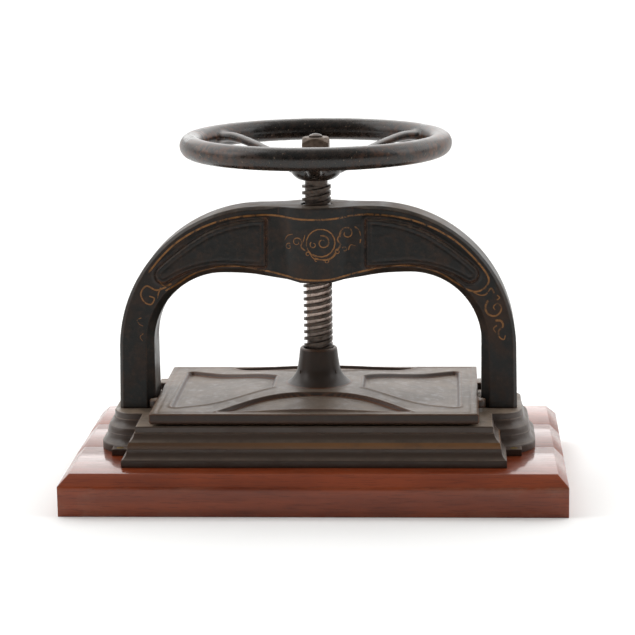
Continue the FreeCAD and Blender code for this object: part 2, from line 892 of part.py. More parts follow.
def make_handwheel():
    level = screw_levels()
    foot = level["collar_top"]
    top = level["square_top"]
    flare = cell("hub_foot_width") / 2
    body = revolved_body(
        "wheel",
        (0, foot),
        (flare - 2, foot),
        (flare, foot + 2, 2),
        (cell("hub_top_width") / 2, foot + 13),
        (cell("hub_top_width") / 2, top - 2),
        (cell("hub_top_width") / 2 - 2, top, 2),
        (0, top),
    )
    width = cell("spoke_width").value
    base = foot.value
    stations = [
        (14, base + 15.0, 27.0, width + 2),
        (36, base + 18.7, 24.5, width + 1),
        (64, base + 27.2, 13.0, width),
        (92, base + 38.0, 8.8, width),
        (118, base + 43.8, 11.0, width + 1),
        (143, base + 43.5, 12.5, width + 6),
    ]
    sections = [spoke_section(body, *station) for station in stations]
    doc.recompute()
    spoke = body.newObject("PartDesign::AdditiveLoft", "spoke")
    spoke.Profile = sections[0]
    spoke.Sections = sections[1:]
    body.Tip = spoke
    doc.recompute()
    spokes = body.newObject("PartDesign::PolarPattern", "spokes")
    spokes.Originals = [spoke]
    spokes.Axis = (origin_feature(body, "Z_Axis"), [""])
    spokes.Angle = 360
    spokes.Occurrences = 3
    body.Tip = spokes
    doc.recompute()
    rim = doc.addObject("Part::Torus", "wheel_rim")
    bind(rim, Radius1=cell("rim_radius"), Radius2=cell("rim_width") / 2)
    place(rim, 0, 0, foot + cell("rim_rise"))
    half = cell("square_width") / 2 + cell("fit_clearance")
    eye = box("wheel_eye", (-half, -half, foot - 1), (half, half, top + 1))
    finished(cut("wheel_bored", fuse("wheel_solid", body, rim), eye), "handwheel")


def make_wheel_fixings():
    """The washer and the square nut that hold the wheel down on the screw's stud."""
    top = screw_levels()["square_top"]
    hole = cell("stud_width") + cell("fit_clearance") * 2
    disc = cylinder("washer_disc", cell("washer_width"), cell("washer_thickness"), 0, 0, top)
    eye = cylinder("washer_eye", hole, cell("washer_thickness") + 2, 0, 0, top - 1)
    finished(cut("washer_bored", disc, eye), "wheel_washer")
    half = cell("wheel_nut_width") / 2
    seat = top + cell("washer_thickness")
    crown = seat + cell("wheel_nut_height")
    block = box("wheel_nut_block", (-half, -half, seat), (half, half, crown))
    outline = draw(
        new_sketch("wheel_nut_crown", "XZ_Plane"),
        (0, seat), (half * 1.5, seat), (half * 1.5, crown - 7), (half - 1, crown), (0, crown),
    )
    rounded = common("wheel_nut_rounded", block, revolution(outline, "wheel_nut_cone"))
    bore = cylinder("wheel_nut_bore", hole, cell("wheel_nut_height") + 2, 0, 0, seat - 1)
    finished(cut("wheel_nut_bored", rounded, bore), "wheel_nut")


# ---------------------------------------------------------------- platen

def platen_levels():
    """Heights on the platen at rest, from its face to the top of its boss."""
    bed = cell("plinth_height") + cell("base_height")
    face = bed + cell("platen_gap")
    return {
        "face": face,
        "floor": face + cell("platen_floor"),
        "rim": face + cell("platen_edge"),
        "hub": face + cell("platen_edge") + cell("hub_rise"),
        "boss": bed + cell("platen_boss_top") + cell("platen_gap"),
    }


def platen_panels():
    """Prisms over the four sunk panels, which leave the ribs between them."""
    level = platen_levels()
    inner = cell("side_panel_inner")
    outer = cell("side_panel_outer")
    inner_half = cell("side_panel_inner_half")
    outer_half = cell("side_panel_outer_half")
    lens = cell("lens_half_length")
    edge = cell("lens_edge")
    lens_radius = 139
    corner = 6
    prisms = []
    for side, x in SIDES.items():
        sketch = draw(
            new_sketch(f"side_panel_{side}_plan", "XY_Plane"),
            (inner * x, -inner_half),
            ((outer - corner) * x, -outer_half, 420 * -x),
            (outer * x, -outer_half + corner, corner * x),
            (outer * x, outer_half - corner),
            ((outer - corner) * x, outer_half, corner * x),
            (inner * x, inner_half, 420 * -x),
        )
        prisms.append(extrusion(sketch, 60, f"side_panel_{side}"))
    for end, y in ENDS.items():
        sketch = draw(
            new_sketch(f"lens_{end}_plan", "XY_Plane"),
            (-lens, edge * y),
            (lens, edge * y),
            (0, cell("lens_top") * y, -lens_radius * y),
            (-lens + 0.01, edge * y, -lens_radius * y),
        )
        prisms.append(extrusion(sketch, 60, f"lens_{end}"))
    return [place(prism, 0, 0, level["floor"] + 30) for prism in prisms]


def platen_boss():
    """The flared collar that takes the screw's toe."""
    level = platen_levels()
    top = cell("platen_boss_width") / 2
    foot = cell("platen_boss_foot") / 2
    sketch = draw(
        new_sketch("platen_boss_outline", "XZ_Plane"),
        (0, level["floor"]),
        (foot, level["floor"]),
        (foot, level["hub"] + 1),
        (top + 2.5, level["hub"] + 21, -26),
        (top, level["boss"] - 3),
        (top - 1.5, level["boss"], 3.5),
        (0, level["boss"]),
    )
    return revolution(sketch, "platen_boss")


def make_platen():
    level = platen_levels()
    half_length = cell("platen_length") / 2
    half_width = cell("platen_width") / 2
    plate = box(
        "platen_plate", (-half_length, -half_width, level["face"]),
        (half_length, half_width, level["rim"]),
    )
    bounds = box(
        "platen_bounds", (-half_length, -half_width, level["face"]),
        (half_length, half_width, level["hub"]),
    )
    slope = doc.addObject("Part::Cone", "platen_slope")
    bind(
        slope, Radius1=cell("hub_slope_radius"), Radius2=cell("hub_flat_radius"),
        Height=cell("hub_rise"),
    )
    place(slope, 0, 0, level["rim"])
    raised = fuse("platen_raised", plate, common("platen_hub", bounds, slope))
    ribbed = cut("platen_ribbed", raised, fuse("platen_panels", *platen_panels()))

    def ear(name, across, along):
        return cylinder(
            f"ear_{name}", cell("ear_radius") * 2, cell("ear_height"),
            across, along, level["rim"] - cell("ear_height"),
        )

    ears = at_corners(ear, half_length, cell("ear_along"))
    solid = fuse("platen_solid", ribbed, platen_boss(), *ears)
    socket_floor = screw_levels()["toe"] - cell("button_height") - 0.3
    socket = cylinder(
        "toe_socket", cell("toe_width") + cell("running_clearance") * 2, 80, 0, 0, socket_floor
    )
    counterbore = cylinder(
        "thread_counterbore", cell("counterbore_width"), 20,
        0, 0, level["boss"] - cell("counterbore_depth"),
    )
    bores = [
        cross_pin(f"pin_bore_{end}", y, cell("cross_pin_width") + cell("fit_clearance"), 200)
        for end, y in ENDS.items()
    ]
    finished(cut("platen_bored", solid, fuse("platen_bores", socket, counterbore, *bores)), "platen")


def cross_pin(name, end, width, length):
    """A pin across the boss, tangent to the groove in the screw's toe."""
    length = as_size(length)
    reach = cell("toe_groove_width") / 2 + cell("cross_pin_width") / 2 + 0.3
    up = screw_levels()["toe"] + cell("toe_groove_rise")
    return cylinder(
        name, width, length, -length / 2, reach * end, up,
        turned=FreeCAD.Rotation(Vector(0, 1, 0), 90),
    )


def make_platen_fittings():
    for end, y in ENDS.items():
        pin = cross_pin(
            f"cross_pin_{end}", y, cell("cross_pin_width"), cell("cross_pin_length")
        )
        finished(pin, f"platen_pin_{end}")
    floor = screw_levels()["toe"] - cell("button_height") - 0.3
    button = cylinder("button", cell("button_width"), cell("button_height"), 0, 0, floor)
    finished(button, "thrust_button")


# ---------------------------------------------------------------- fixings

def make_arch_bolts():
    """Hexagon bolts, with washers, that come up from the base's hollow into the legs."""
    foot = cell("plinth_height") + cell("base_height")
    seat = foot - cell("lobe_plate")
    under_washer = seat - cell("bolt_washer_thickness")

    def bolt(name, across, along):
        head = doc.addObject("Part::Prism", f"bolt_head_{name}")
        head.Polygon = 6
        bind(
            head, Circumradius=cell("bolt_head_flats") / math.sqrt(3),
            Height=cell("bolt_head_height"),
        )
        place(head, across, along, under_washer - cell("bolt_head_height"))
        shank = cylinder(
            f"bolt_shank_{name}", cell("bolt_width"), foot + cell("bolt_reach") - under_washer,
            across, along, under_washer,
        )
        return finished(fuse(f"bolt_solid_{name}", head, shank), f"arch_bolt_{name}")

    def washer(name, across, along):
        thickness = cell("bolt_washer_thickness")
        disc = cylinder(
            f"bolt_disc_{name}", cell("bolt_washer_width"), thickness, across, along, under_washer
        )
        eye = cylinder(
            f"bolt_eye_{name}", cell("bolt_width") + 1, thickness + 2,
            across, along, under_washer - 1,
        )
        return finished(cut(f"bolt_ring_{name}", disc, eye), f"arch_bolt_washer_{name}")

    at_corners(bolt, cell("bolt_across"), cell("bolt_along"))
    at_corners(washer, cell("bolt_across"), cell("bolt_along"))


def make_lug_screws():
    """Countersunk wood screws through the lugs into the plinth."""
    top = cell("plinth_height") + cell("lug_height")
    shank = cell("wood_screw_shank") / 2
    head = cell("wood_screw_head") / 2
    tip = top - cell("wood_screw_length")
    slot_half = 0.6

    def wood_screw(name, across, along):
        sketch = draw(
            new_sketch(f"wood_screw_{name}_outline", "XZ_Plane"),
            (0, tip), (shank, tip + 9), (shank, top - head + shank), (head, top), (0, top),
        )
        turned = revolution(sketch, f"wood_screw_{name}_turned")
        slot = box(
            f"wood_screw_{name}_slot",
            (-head - 1, -slot_half, top - 1.2), (head + 1, slot_half, top + 1),
        )
        slotted = cut(f"wood_screw_{name}", turned, slot)
        return finished(place(slotted, across, along, 0), f"lug_screw_{name}")

    at_corners(wood_screw, cell("lug_screw_across"), cell("lug_screw_along"))


# ---------------------------------------------------------------- the whole press

def check_document():
    """Stop at the first object that failed or holds an unsound shape."""
    for item in doc.Objects:
        if "Invalid" in item.State or "Error" in item.State:
            raise RuntimeError(f"{item.Label} did not recompute: {item.State}")
    for item in nodes:
        if item.Shape.isNull() or not item.Shape.isValid() or len(item.Shape.Solids) != 1:
            raise RuntimeError(f"{item.Label} is not one sound solid")


def write_parts():
    """Write each sub-part to a file with its own name."""
    os.makedirs("parts", exist_ok=True)
    for item in nodes:
        item.Shape.exportStep(os.path.join("parts", item.Label + ".step"))
        print(f"{item.Label}: {item.Shape.Volume / 1000:.1f} cm3")


fill_sheet()
make_plinth()
make_base()
make_arch()
make_arch_nut()
make_grub_screw()
make_arch_bolts()
make_lug_screws()
make_screw()
make_handwheel()
make_wheel_fixings()
make_platen()
make_platen_fittings()
doc.recompute()
check_document()
write_parts()
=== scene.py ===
"""A bookbinder's nipping press: cast-iron base, arch, platen and handwheel on a mahogany plinth.

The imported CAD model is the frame. The castings that carry relief are modelled again here
round it, and the turned and threaded fittings keep their CAD shape and get their finish.
"""
import math

import bmesh
import bpy
import numpy as np
from bpy.props import FloatProperty, FloatVectorProperty, PointerProperty
from mathutils import Matrix, Vector
from mathutils.bvhtree import BVHTree


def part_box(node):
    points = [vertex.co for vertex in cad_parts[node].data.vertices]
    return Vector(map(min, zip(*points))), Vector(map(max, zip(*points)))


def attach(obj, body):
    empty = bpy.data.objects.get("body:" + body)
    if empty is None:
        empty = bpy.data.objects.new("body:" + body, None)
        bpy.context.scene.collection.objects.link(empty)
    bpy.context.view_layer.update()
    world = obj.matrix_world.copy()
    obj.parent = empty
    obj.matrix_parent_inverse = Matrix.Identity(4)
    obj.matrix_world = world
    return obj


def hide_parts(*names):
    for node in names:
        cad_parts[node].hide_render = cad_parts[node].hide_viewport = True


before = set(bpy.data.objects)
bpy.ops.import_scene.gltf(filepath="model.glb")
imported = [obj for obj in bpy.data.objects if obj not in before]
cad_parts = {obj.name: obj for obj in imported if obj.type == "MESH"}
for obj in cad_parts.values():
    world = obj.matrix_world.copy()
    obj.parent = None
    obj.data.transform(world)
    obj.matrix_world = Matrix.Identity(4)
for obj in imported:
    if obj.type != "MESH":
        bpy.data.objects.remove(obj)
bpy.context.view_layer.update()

bl_info = {
    "name": "Nipping press",
    "version": (1, 0, 0),
    "blender": (4, 5, 0),
    "location": "View3D > Sidebar > Press",
    "description": "Models and finishes a bookbinder's cast-iron nipping press",
    "category": "Object",
}

MM = 0.001
WHEEL_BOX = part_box("handwheel")
PLATEN_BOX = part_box("platen")
ARCH_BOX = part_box("arch_frame")
BOARDS = ("plinth_board_front", "plinth_board_middle", "plinth_board_back")
BOLTS = [f"arch_bolt_{side}_{end}" for side in ("left", "right") for end in ("front", "back")]
WASHERS = [name.replace("bolt_", "bolt_washer_") for name in BOLTS]
LUG_SCREWS = [name.replace("arch_bolt", "lug_screw") for name in BOLTS]

# The base's bed in metres: its top, half its length, and the painted band round its side.
BED_TOP, BED_REACH = 0.0935, 0.216
GILT_BAND = (0.0695, 0.0758)


# ---------------------------------------------------------------- settings

def linear(hex_colour):
    """Turns an sRGB hex colour into the linear values that Blender works in."""
    parts = [int(hex_colour[i:i + 2], 16) / 255 for i in (1, 3, 5)]
    return tuple(c / 12.92 if c <= 0.04045 else ((c + 0.055) / 1.055) ** 2.4 for c in parts)


def length(name, description, default):
    return FloatProperty(name=name, description=description, default=default, unit="LENGTH")


def colour(name, description, default):
    return FloatVectorProperty(name=name, description=description, default=linear(default),
                               subtype="COLOR", min=0, max=1)


class PlinthSettings(bpy.types.PropertyGroup):
    bevel: length("Bevel", "Width of the bevel round the plinth's top", 0.0125)
    arris: length("Arris", "Softening of every sawn edge", 0.0007)


class ArchSettings(bpy.types.PropertyGroup):
    sink: length("Panel depth", "How far the panels are sunk in the arch's faces", 0.0042)
    bead: length("Bead height", "Height of the bead round each panel", 0.0017)
    lining: length("Lining width", "Width of the gilt lining", 0.0021)


class WheelSettings(bpy.types.PropertyGroup):
    rim: length("Rim radius", "Radius of the rim's round section", 0.0135)
    grain: length("Casting step", "Size of the steps that blend the spokes into the rim", 0.0016)


class PlatenSettings(bpy.types.PropertyGroup):
    floor: length("Panel floor", "Height of the sunk panels' floor", 0.1035)
    rim: length("Rim height", "Height of the platen's flat rim", 0.1085)
    hub: length("Hub height", "Height of the ribs where they meet at the boss", 0.118)
    panel: length("Panel depth", "Greatest depth of the panels below the ribs", 0.0038)


class FinishSettings(bpy.types.PropertyGroup):
    japan: colour("Black japan", "The baked black finish of the castings", "#171614")
    japan_base: colour("Base japan", "The browner japan of the base casting", "#3a2c22")
    japan_brown: colour("Thinned japan", "Where the black has thinned to brown", "#38261a")
    rust: colour("Old rust", "Browned iron at rubbed edges", "#5e3820")
    dust: colour("Dust", "Settled dust on upward faces", "#776757")
    gilt: colour("Gilt", "Bronze-powder lining paint", "#8c5e30")
    steel: colour("Browned steel", "The screw's oiled steel", "#4a4038")
    # Rubbed steel at worn edges; brightened, it is also the painted highlight on the screw's roots
    # and flanks.
    rubbed_steel_and_highlight: colour("Rubbed steel", "Steel where the nut rubs it", "#a3938a")
    bronze: colour("Oiled bronze", "The nut", "#6a5b45")
    brass: colour("Dull brass", "The wood screws", "#94793f")
    wood: colour("Mahogany", "The plinth under its varnish", "#823a1c")
    wood_dark: colour("Mahogany grain", "The dark pores and figure", "#4a1a0c")
    floor: colour("Floor", "The pale studio floor", "#fbfbfa")


class StageSettings(bpy.types.PropertyGroup):
    place: FloatVectorProperty(name="Camera place", description="Where the camera stands",
                               default=(0.16053, -2.74903, 0.74500), subtype="TRANSLATION")
    down: FloatProperty(name="Downward tilt", description="How far the camera looks down",
                        default=0.19654, subtype="ANGLE")
    turn: FloatProperty(name="Turn", description="How far the camera is turned to its left",
                        default=-0.05863, subtype="ANGLE")
    roll: FloatProperty(name="Roll", description="How far the camera leans",
                        default=0.0140, subtype="ANGLE")
    lens: FloatProperty(name="Lens", description="Focal length in millimetres on a 36 mm frame",
                        default=132.86)


class PressSettings(bpy.types.PropertyGroup):
    plinth: PointerProperty(type=PlinthSettings)
    arch: PointerProperty(type=ArchSettings)
    wheel: PointerProperty(type=WheelSettings)
    platen: PointerProperty(type=PlatenSettings)
    finish: PointerProperty(type=FinishSettings)
    stage: PointerProperty(type=StageSettings)


# ---------------------------------------------------------------- material tools

def add(tree, kind, links=(), **settings):
    """Adds a node with its settings. links gives an input either a socket or a value."""
    made = tree.nodes.new(kind)
    for key, value in settings.items():
        setattr(made, key, value)
    connect(tree, made, dict(links))
    return made


def connect(tree, node, links):
    """Gives each named input of a node a link from a socket, or a value of its own."""
    for key, value in links.items():
        if isinstance(value, bpy.types.NodeSocket):
            tree.links.new(value, node.inputs[key])
        else:
            node.inputs[key].default_value = value


def new_finish(name):
    """A named material with its shader, and the place on the piece that patterns read."""
    material = bpy.data.materials.new(name)
    material.use_nodes = True
    tree = material.node_tree
    tree.nodes.clear()
    shader = add(tree, "ShaderNodeBsdfPrincipled")
    add(tree, "ShaderNodeOutputMaterial", {"Surface": shader.outputs[0]})
    place = add(tree, "ShaderNodeTexCoord").outputs["Object"]
    return material, tree, shader, place


def ramp(tree, value, low, high, start=0.0, end=1.0):
    """Spreads a value that runs from low to high over start to end, and holds it there."""
    return add(tree, "ShaderNodeMapRange",
               {"Value": value, "From Min": low, "From Max": high, "To Min": start,
                "To Max": end}).outputs[0]


def patches(tree, place, size, low, high, detail=6.0, stretch=(1, 1, 1), shift=(0, 0, 0)):
    """A mask of cloudy patches about size mm across, clear below low and full above high."""
    spread = add(tree, "ShaderNodeMapping",
                 {"Vector": place, "Scale": stretch, "Location": shift})
    cloud = add(tree, "ShaderNodeTexNoise",
                {"Vector": spread.outputs[0], "Scale": 1 / (size * MM), "Detail": detail,
                 "Roughness": 0.62})
    return ramp(tree, cloud.outputs[0], low, high)


def build_up(tree, first, layers, kind="RGBA"):
    """Lays each (mask, value) over what is below it, as coats of a finish are laid."""
    below, above, out = (6, 7, 2) if kind == "RGBA" else (2, 3, 0)
    result = first
    for mask, value in layers:
        result = add(tree, "ShaderNodeMix", {0: mask, below: result, above: value},
                     data_type=kind).outputs[out]
    return result


def coat(tree, shader, skin, layers, roughness, rough, **others):
    """Gives a shader its coats of colour and of roughness, and its other inputs."""
    named = {key.replace("_", " "): value for key, value in others.items()}
    connect(tree, shader, {"Base Color": build_up(tree, skin, layers),
                           "Roughness": build_up(tree, roughness, rough, "FLOAT"), **named})


def both(tree, mask, *others, how="MULTIPLY"):
    """Joins masks into one, which is full only where all of them are."""
    for other in others:
        mask = add(tree, "ShaderNodeMath", {0: mask, 1: other}, operation=how,
                   use_clamp=True).outputs[0]
    return mask


def between(tree, value, low, high, soft):
    """A mask that is full while value lies from low to high, with soft ends."""
    return both(tree, ramp(tree, value, low - soft, low), ramp(tree, value, high + soft, high))


def faces_up(tree, low, high):
    """A mask of the surfaces that face up, where dust settles."""
    normal = add(tree, "ShaderNodeNewGeometry").outputs["Normal"]
    upward = add(tree, "ShaderNodeSeparateXYZ", {0: normal}).outputs[2]
    return ramp(tree, upward, low, high)


def rubbed_edges(tree, radius, low=0.02, high=0.25):
    """A mask of corners within radius mm, and the normal of those corners gently rounded."""
    rounded = add(tree, "ShaderNodeBevel", {"Radius": radius * MM}, samples=6).outputs[0]
    flat = add(tree, "ShaderNodeNewGeometry").outputs["True Normal"]
    agree = add(tree, "ShaderNodeVectorMath", {0: rounded, 1: flat},
                operation="DOT_PRODUCT").outputs["Value"]
    return ramp(tree, agree, 1 - low, 1 - high), rounded


def relief(tree, place, normal, coarse, fine, depth_coarse, depth_fine):
    """Bump of two grains, in mm: a coarse swell and a fine tooth over it."""
    swell = patches(tree, place, coarse, 0, 1, 3)
    tooth = patches(tree, place, fine, 0, 1, 4)
    first = add(tree, "ShaderNodeBump",
                {"Height": swell, "Distance": depth_coarse * MM, "Strength": 1.0})
    if normal is not None:
        tree.links.new(normal, first.inputs["Normal"])
    return add(tree, "ShaderNodeBump",
               {"Height": tooth, "Distance": depth_fine * MM, "Strength": 1.0,
                "Normal": first.outputs[0]}).outputs[0]


def rgba(value):
    return (*value, 1.0)


def shade(value, gain):
    return (*(c * gain for c in value), 1.0)


# ---------------------------------------------------------------- finishes

def japanned_iron(finish, name, skin, gloss, edge_radius, dust, wear, band=None, top=None):
    """Cast iron, sand-cast and stove-japanned: a black or brown-black skin, brown where it
    has thinned, rusty at rubbed edges, dusty where it faces up, with a faint casting
    texture. band is the height of a painted stripe and top is the height of a worn bed."""
    material, tree, shader, place = new_finish(name)
    edge, rounded = rubbed_edges(tree, edge_radius)
    thin = patches(tree, place, 38, 0.47, 0.70)
    mottle = patches(tree, place, 7, 0.50, 0.72)
    scuffs = patches(tree, place, 3, 0.56, 0.62)
    chips = patches(tree, place, 1.6, 0.66, 0.70, 3)
    edge = both(tree, edge, patches(tree, place, 12, 0.35, 0.60))
    settled = both(tree, faces_up(tree, 0.55, 0.98), patches(tree, place, 22, 0.30, 0.62))
    layers = [
        (both(tree, thin, 0.85), rgba(finish.japan_brown)),
        (both(tree, mottle, 0.45), shade(finish.japan_brown, 1.25)),
        (both(tree, edge, wear), rgba(finish.rust)),
        (both(tree, scuffs, edge, 0.8), shade(finish.dust, 0.8)),
        (both(tree, settled, dust), rgba(finish.dust)),
        (both(tree, chips, 0.25), shade(finish.dust, 0.6)),
    ]
    height = add(tree, "ShaderNodeSeparateXYZ", {0: place})
    if top is not None:
        bed = both(tree, between(tree, height.outputs[2], top - 0.0008, top + 0.05, 0.0004),
                   faces_up(tree, 0.7, 0.98))
        worn_bed = build_up(tree, shade(finish.dust, 1.15),
                            [(both(tree, patches(tree, place, 16, 0.40, 0.66), 0.8),
                              shade(finish.dust, 0.55)),
                             (patches(tree, place, 4, 0.60, 0.72), shade(finish.japan_brown, 2.2))])
        layers.append((both(tree, bed, 0.9), worn_bed))
    rough = [(thin, 0.52), (edge, 0.60), (both(tree, settled, dust), 0.85)]
    if band is not None:
        low, high = band
        stripe = between(tree, height.outputs[2], low, high, 0.0004)
        sides = faces_up(tree, 0.90, 0.55)
        fade = ramp(tree, height.outputs[0], -0.16, 0.02, 0.30, 0.95)
        keep = both(tree, patches(tree, place, 40, 0.10, 0.45, 3), fade)
        on_bed = between(tree, height.outputs[0], -BED_REACH, BED_REACH, 0.0004)
        stripe = both(tree, stripe, sides, keep, on_bed)
        layers.append((stripe, shade(finish.gilt, 0.60)))
        rough.append((stripe, 0.42))
    coat(tree, shader, rgba(skin), layers, 0.36, rough, Specular_IOR_Level=gloss,
         Normal=relief(tree, place, rounded, 14, 1.3, 0.5, 0.07))
    return material


def platen_iron(finish):
    """The same japanned casting under years of paste and paper dust: grey-brown on the
    flats, dark along the panel walls, with paler rubbed beads."""
    material, tree, shader, place = new_finish("japanned_iron_dusty")
    edge, rounded = rubbed_edges(tree, 2.2, 0.004, 0.10)
    flat = faces_up(tree, 0.80, 0.995)
    cloud = patches(tree, place, 45, 0.36, 0.64)
    blots = patches(tree, place, 9, 0.50, 0.66)
    specks = patches(tree, place, 2.2, 0.62, 0.68, 3)
    layers = [
        (both(tree, patches(tree, place, 30, 0.45, 0.7), 0.7), rgba(finish.japan_brown)),
        (both(tree, flat, 0.62), shade(finish.dust, 0.62)),
        (both(tree, flat, cloud, 0.65), shade(finish.dust, 1.0)),
        (both(tree, flat, blots, 0.5), shade(finish.japan_brown, 1.3)),
        (both(tree, edge, 0.8), shade(finish.rust, 1.5)),
        (both(tree, specks, flat, 0.3), shade(finish.dust, 1.3)),
    ]
    rough = [(flat, 0.50), (blots, 0.36), (edge, 0.5)]
    coat(tree, shader, shade(finish.japan_base, 0.6), layers, 0.40, rough,
         Specular_IOR_Level=0.35, Normal=relief(tree, place, rounded, 18, 1.2, 0.35, 0.06))
    return material


def handled_iron(finish):
    """Japanned iron polished by hands: glossier, worn to red-brown along the rim, with
    small bare chips."""
    material, tree, shader, place = new_finish("japanned_iron_handled")
    sideways = add(tree, "ShaderNodeMath", {0: add(tree, "ShaderNodeSeparateXYZ", {0: place})
                                            .outputs[0]}, operation="ABSOLUTE").outputs[0]
    gripped = ramp(tree, sideways, 0.03, 0.14, 0.10)
    worn = both(tree, patches(tree, place, 45, 0.36, 0.58), gripped)
    broken = patches(tree, place, 8, 0.44, 0.58)
    chips = patches(tree, place, 3.2, 0.685, 0.70, 2)
    nicks = patches(tree, place, 1.7, 0.66, 0.69, 2, shift=(3, 1, 2))
    layers = [
        (both(tree, patches(tree, place, 30, 0.45, 0.70), 0.5), shade(finish.japan_brown, 0.6)),
        (both(tree, worn, broken, 0.85), shade(finish.rust, 1.0)),
        (both(tree, faces_up(tree, 0.6, 1.0), 0.10), rgba(finish.dust)),
        (both(tree, nicks, 0.25), shade(finish.rust, 1.3)),
        (both(tree, chips, 0.45), shade(finish.dust, 2.0)),
    ]
    rough = [(worn, 0.40), (broken, 0.34), (chips, 0.7)]
    coat(tree, shader, shade(finish.japan, 0.7), layers, 0.20, rough,
         Specular_IOR_Level=0.45, Normal=relief(tree, place, None, 24, 1.8, 0.25, 0.012))
    return material


def bare_metal(name, base, bright, dirt, metallic, roughness, edge_radius, rubbed=0.5):
    """Machined or wrought metal gone dull: oily dark patches, and bright rubbed edges."""
    material, tree, shader, place = new_finish(name)
    edge, rounded = rubbed_edges(tree, edge_radius)
    grime = patches(tree, place, 6, 0.40, 0.66)
    spots = patches(tree, place, 1.8, 0.55, 0.66, 3)
    layers = [
        (both(tree, grime, 0.8), rgba(dirt)),
        (both(tree, edge, rubbed), rgba(bright)),
        (both(tree, spots, 0.5), rgba(dirt)),
    ]
    coat(tree, shader, rgba(base), layers, roughness, [(grime, roughness + 0.18)],
         Metallic=metallic, Normal=relief(tree, place, rounded, 5, 0.9, 0.08, 0.03))
    return material


def thread_steel(finish):
    """A turned steel screw: brown-black crests, and roots and flanks lightened by a painted
    highlight over the stretch of thread that the nut rubs most."""
    material, tree, shader, place = new_finish("turned_steel_oiled")
    edge, rounded = rubbed_edges(tree, 0.5)
    spot = add(tree, "ShaderNodeSeparateXYZ", {0: place})
    level = add(tree, "ShaderNodeCombineXYZ", {0: spot.outputs[0], 1: spot.outputs[1]})
    reach = add(tree, "ShaderNodeVectorMath", {0: level.outputs[0]}, operation="LENGTH")
    # Mask of the painted highlight: the roots and flanks, in the band of height where it is laid;
    # the nut also rubs there.
    painted_flank_highlight = both(tree, between(tree, reach.outputs["Value"], 0.0120, 0.0152, 0.0004),
                 between(tree, spot.outputs[2], 0.205, 0.300, 0.035))
    grime = patches(tree, place, 7, 0.42, 0.66)
    layers = [
        (both(tree, grime, 0.7), shade(finish.steel, 0.35)),
        (both(tree, edge, 0.25), shade(finish.rubbed_steel_and_highlight, 0.6)),
        # Painted highlight: the roots and flanks get a brightened rubbed-steel colour.
        (both(tree, painted_flank_highlight, 0.85), shade(finish.rubbed_steel_and_highlight, 1.7)),
        (both(tree, patches(tree, place, 2.5, 0.52, 0.66), 0.6), shade(finish.rust, 0.8)),
    ]
    coat(tree, shader, rgba(finish.steel), layers, 0.34, [(grime, 0.5)], Metallic=0.55,
         Normal=relief(tree, place, rounded, 6, 0.8, 0.05, 0.02))
    return material


def gilt_lining(finish):
    """Bronze-powder paint drawn on with a lining brush, rubbed through to the black."""
    material, tree, shader, place = new_finish("bronze_powder_paint")
    lost = patches(tree, place, 11, 0.50, 0.60)
    flecks = patches(tree, place, 2.0, 0.52, 0.60, 3)
    gone = both(tree, lost, both(tree, flecks, 0.45, how="ADD"))
    layers = [
        (patches(tree, place, 5, 0.40, 0.65), shade(finish.gilt, 0.62)),
        (gone, rgba(finish.japan)),
    ]
    coat(tree, shader, rgba(finish.gilt), layers, 0.46, [(gone, 0.38)], Metallic=0.35)
    return material


def varnished_mahogany(finish, name, shift):
    """Mahogany, planed and varnished: long dark pores and slow figure along the board under a
    glossy, slightly scratched coat, with pale patches along the arrises. The bevel, paler and
    redder where it cuts the grain, gets no colour of its own here."""
    material, tree, shader, place = new_finish(name)
    _, rounded = rubbed_edges(tree, 1.0)
    along = (0.06, 1, 1)
    figure = patches(tree, place, 16, 0.30, 0.72, 4, along, shift)
    pores = patches(tree, place, 1.3, 0.54, 0.64, 3, (0.05, 1, 1), shift)
    ribbon = patches(tree, place, 60, 0.35, 0.65, 2, (0.5, 1, 1), shift)
    scratches = patches(tree, place, 4, 0.60, 0.66, 2, (0.15, 1.4, 1), (1, 5, 2))
    edge, _ = rubbed_edges(tree, 1.4, 0.01, 0.10)
    layers = [
        (both(tree, figure, 0.75), rgba(finish.wood_dark)),
        (both(tree, ribbon, 0.35), shade(finish.wood, 1.5)),
        (both(tree, pores, 0.35), shade(finish.wood_dark, 0.6)),
        (both(tree, edge, patches(tree, place, 60, 0.42, 0.56), 0.55),
         shade(finish.dust, 2.4)),
        (both(tree, faces_up(tree, 0.8, 1.0), scratches, 0.25),
         shade(finish.dust, 1.0)),
    ]
    rough = build_up(tree, 0.30, [(scratches, 0.45), (pores, 0.40)], "FLOAT")
    bump = add(tree, "ShaderNodeBump",
               {"Height": pores, "Distance": 0.00008, "Strength": 0.6, "Normal": rounded})
    swell = add(tree, "ShaderNodeBump",
                {"Height": patches(tree, place, 40, 0, 1, 2, (0.4, 1, 1)), "Distance": 0.0006,
                 "Strength": 0.6, "Normal": rounded})
    connect(tree, shader, {"Base Color": build_up(tree, rgba(finish.wood), layers),
                           "Roughness": rough, "Specular IOR Level": 0.08,
                           "Coat Weight": 0.62, "Coat Roughness": 0.10,
                           "Normal": bump.outputs[0], "Coat Normal": swell.outputs[0]})
    return material


# ---------------------------------------------------------------- modelling tools, in mm

def sheet(columns, rows, place):
    """A sheet of faces whose corners are moved to place(column, row), then sewn."""
    bm = bmesh.new()
    bmesh.ops.create_grid(bm, x_segments=columns, y_segments=rows, size=0.5)
    reach = max(vert.co.x for vert in bm.verts)
    for vert in bm.verts:
        column = round((vert.co.x / reach + 1) / 2 * columns)
        row = round((vert.co.y / reach + 1) / 2 * rows)
        vert.co = place(column, row)
    bmesh.ops.remove_doubles(bm, verts=bm.verts, dist=1e-4)
    return bm


def close_ends(bm):
    rim = [edge for edge in bm.edges if edge.is_boundary]
    if rim:
        bmesh.ops.holes_fill(bm, edges=rim, sides=0)


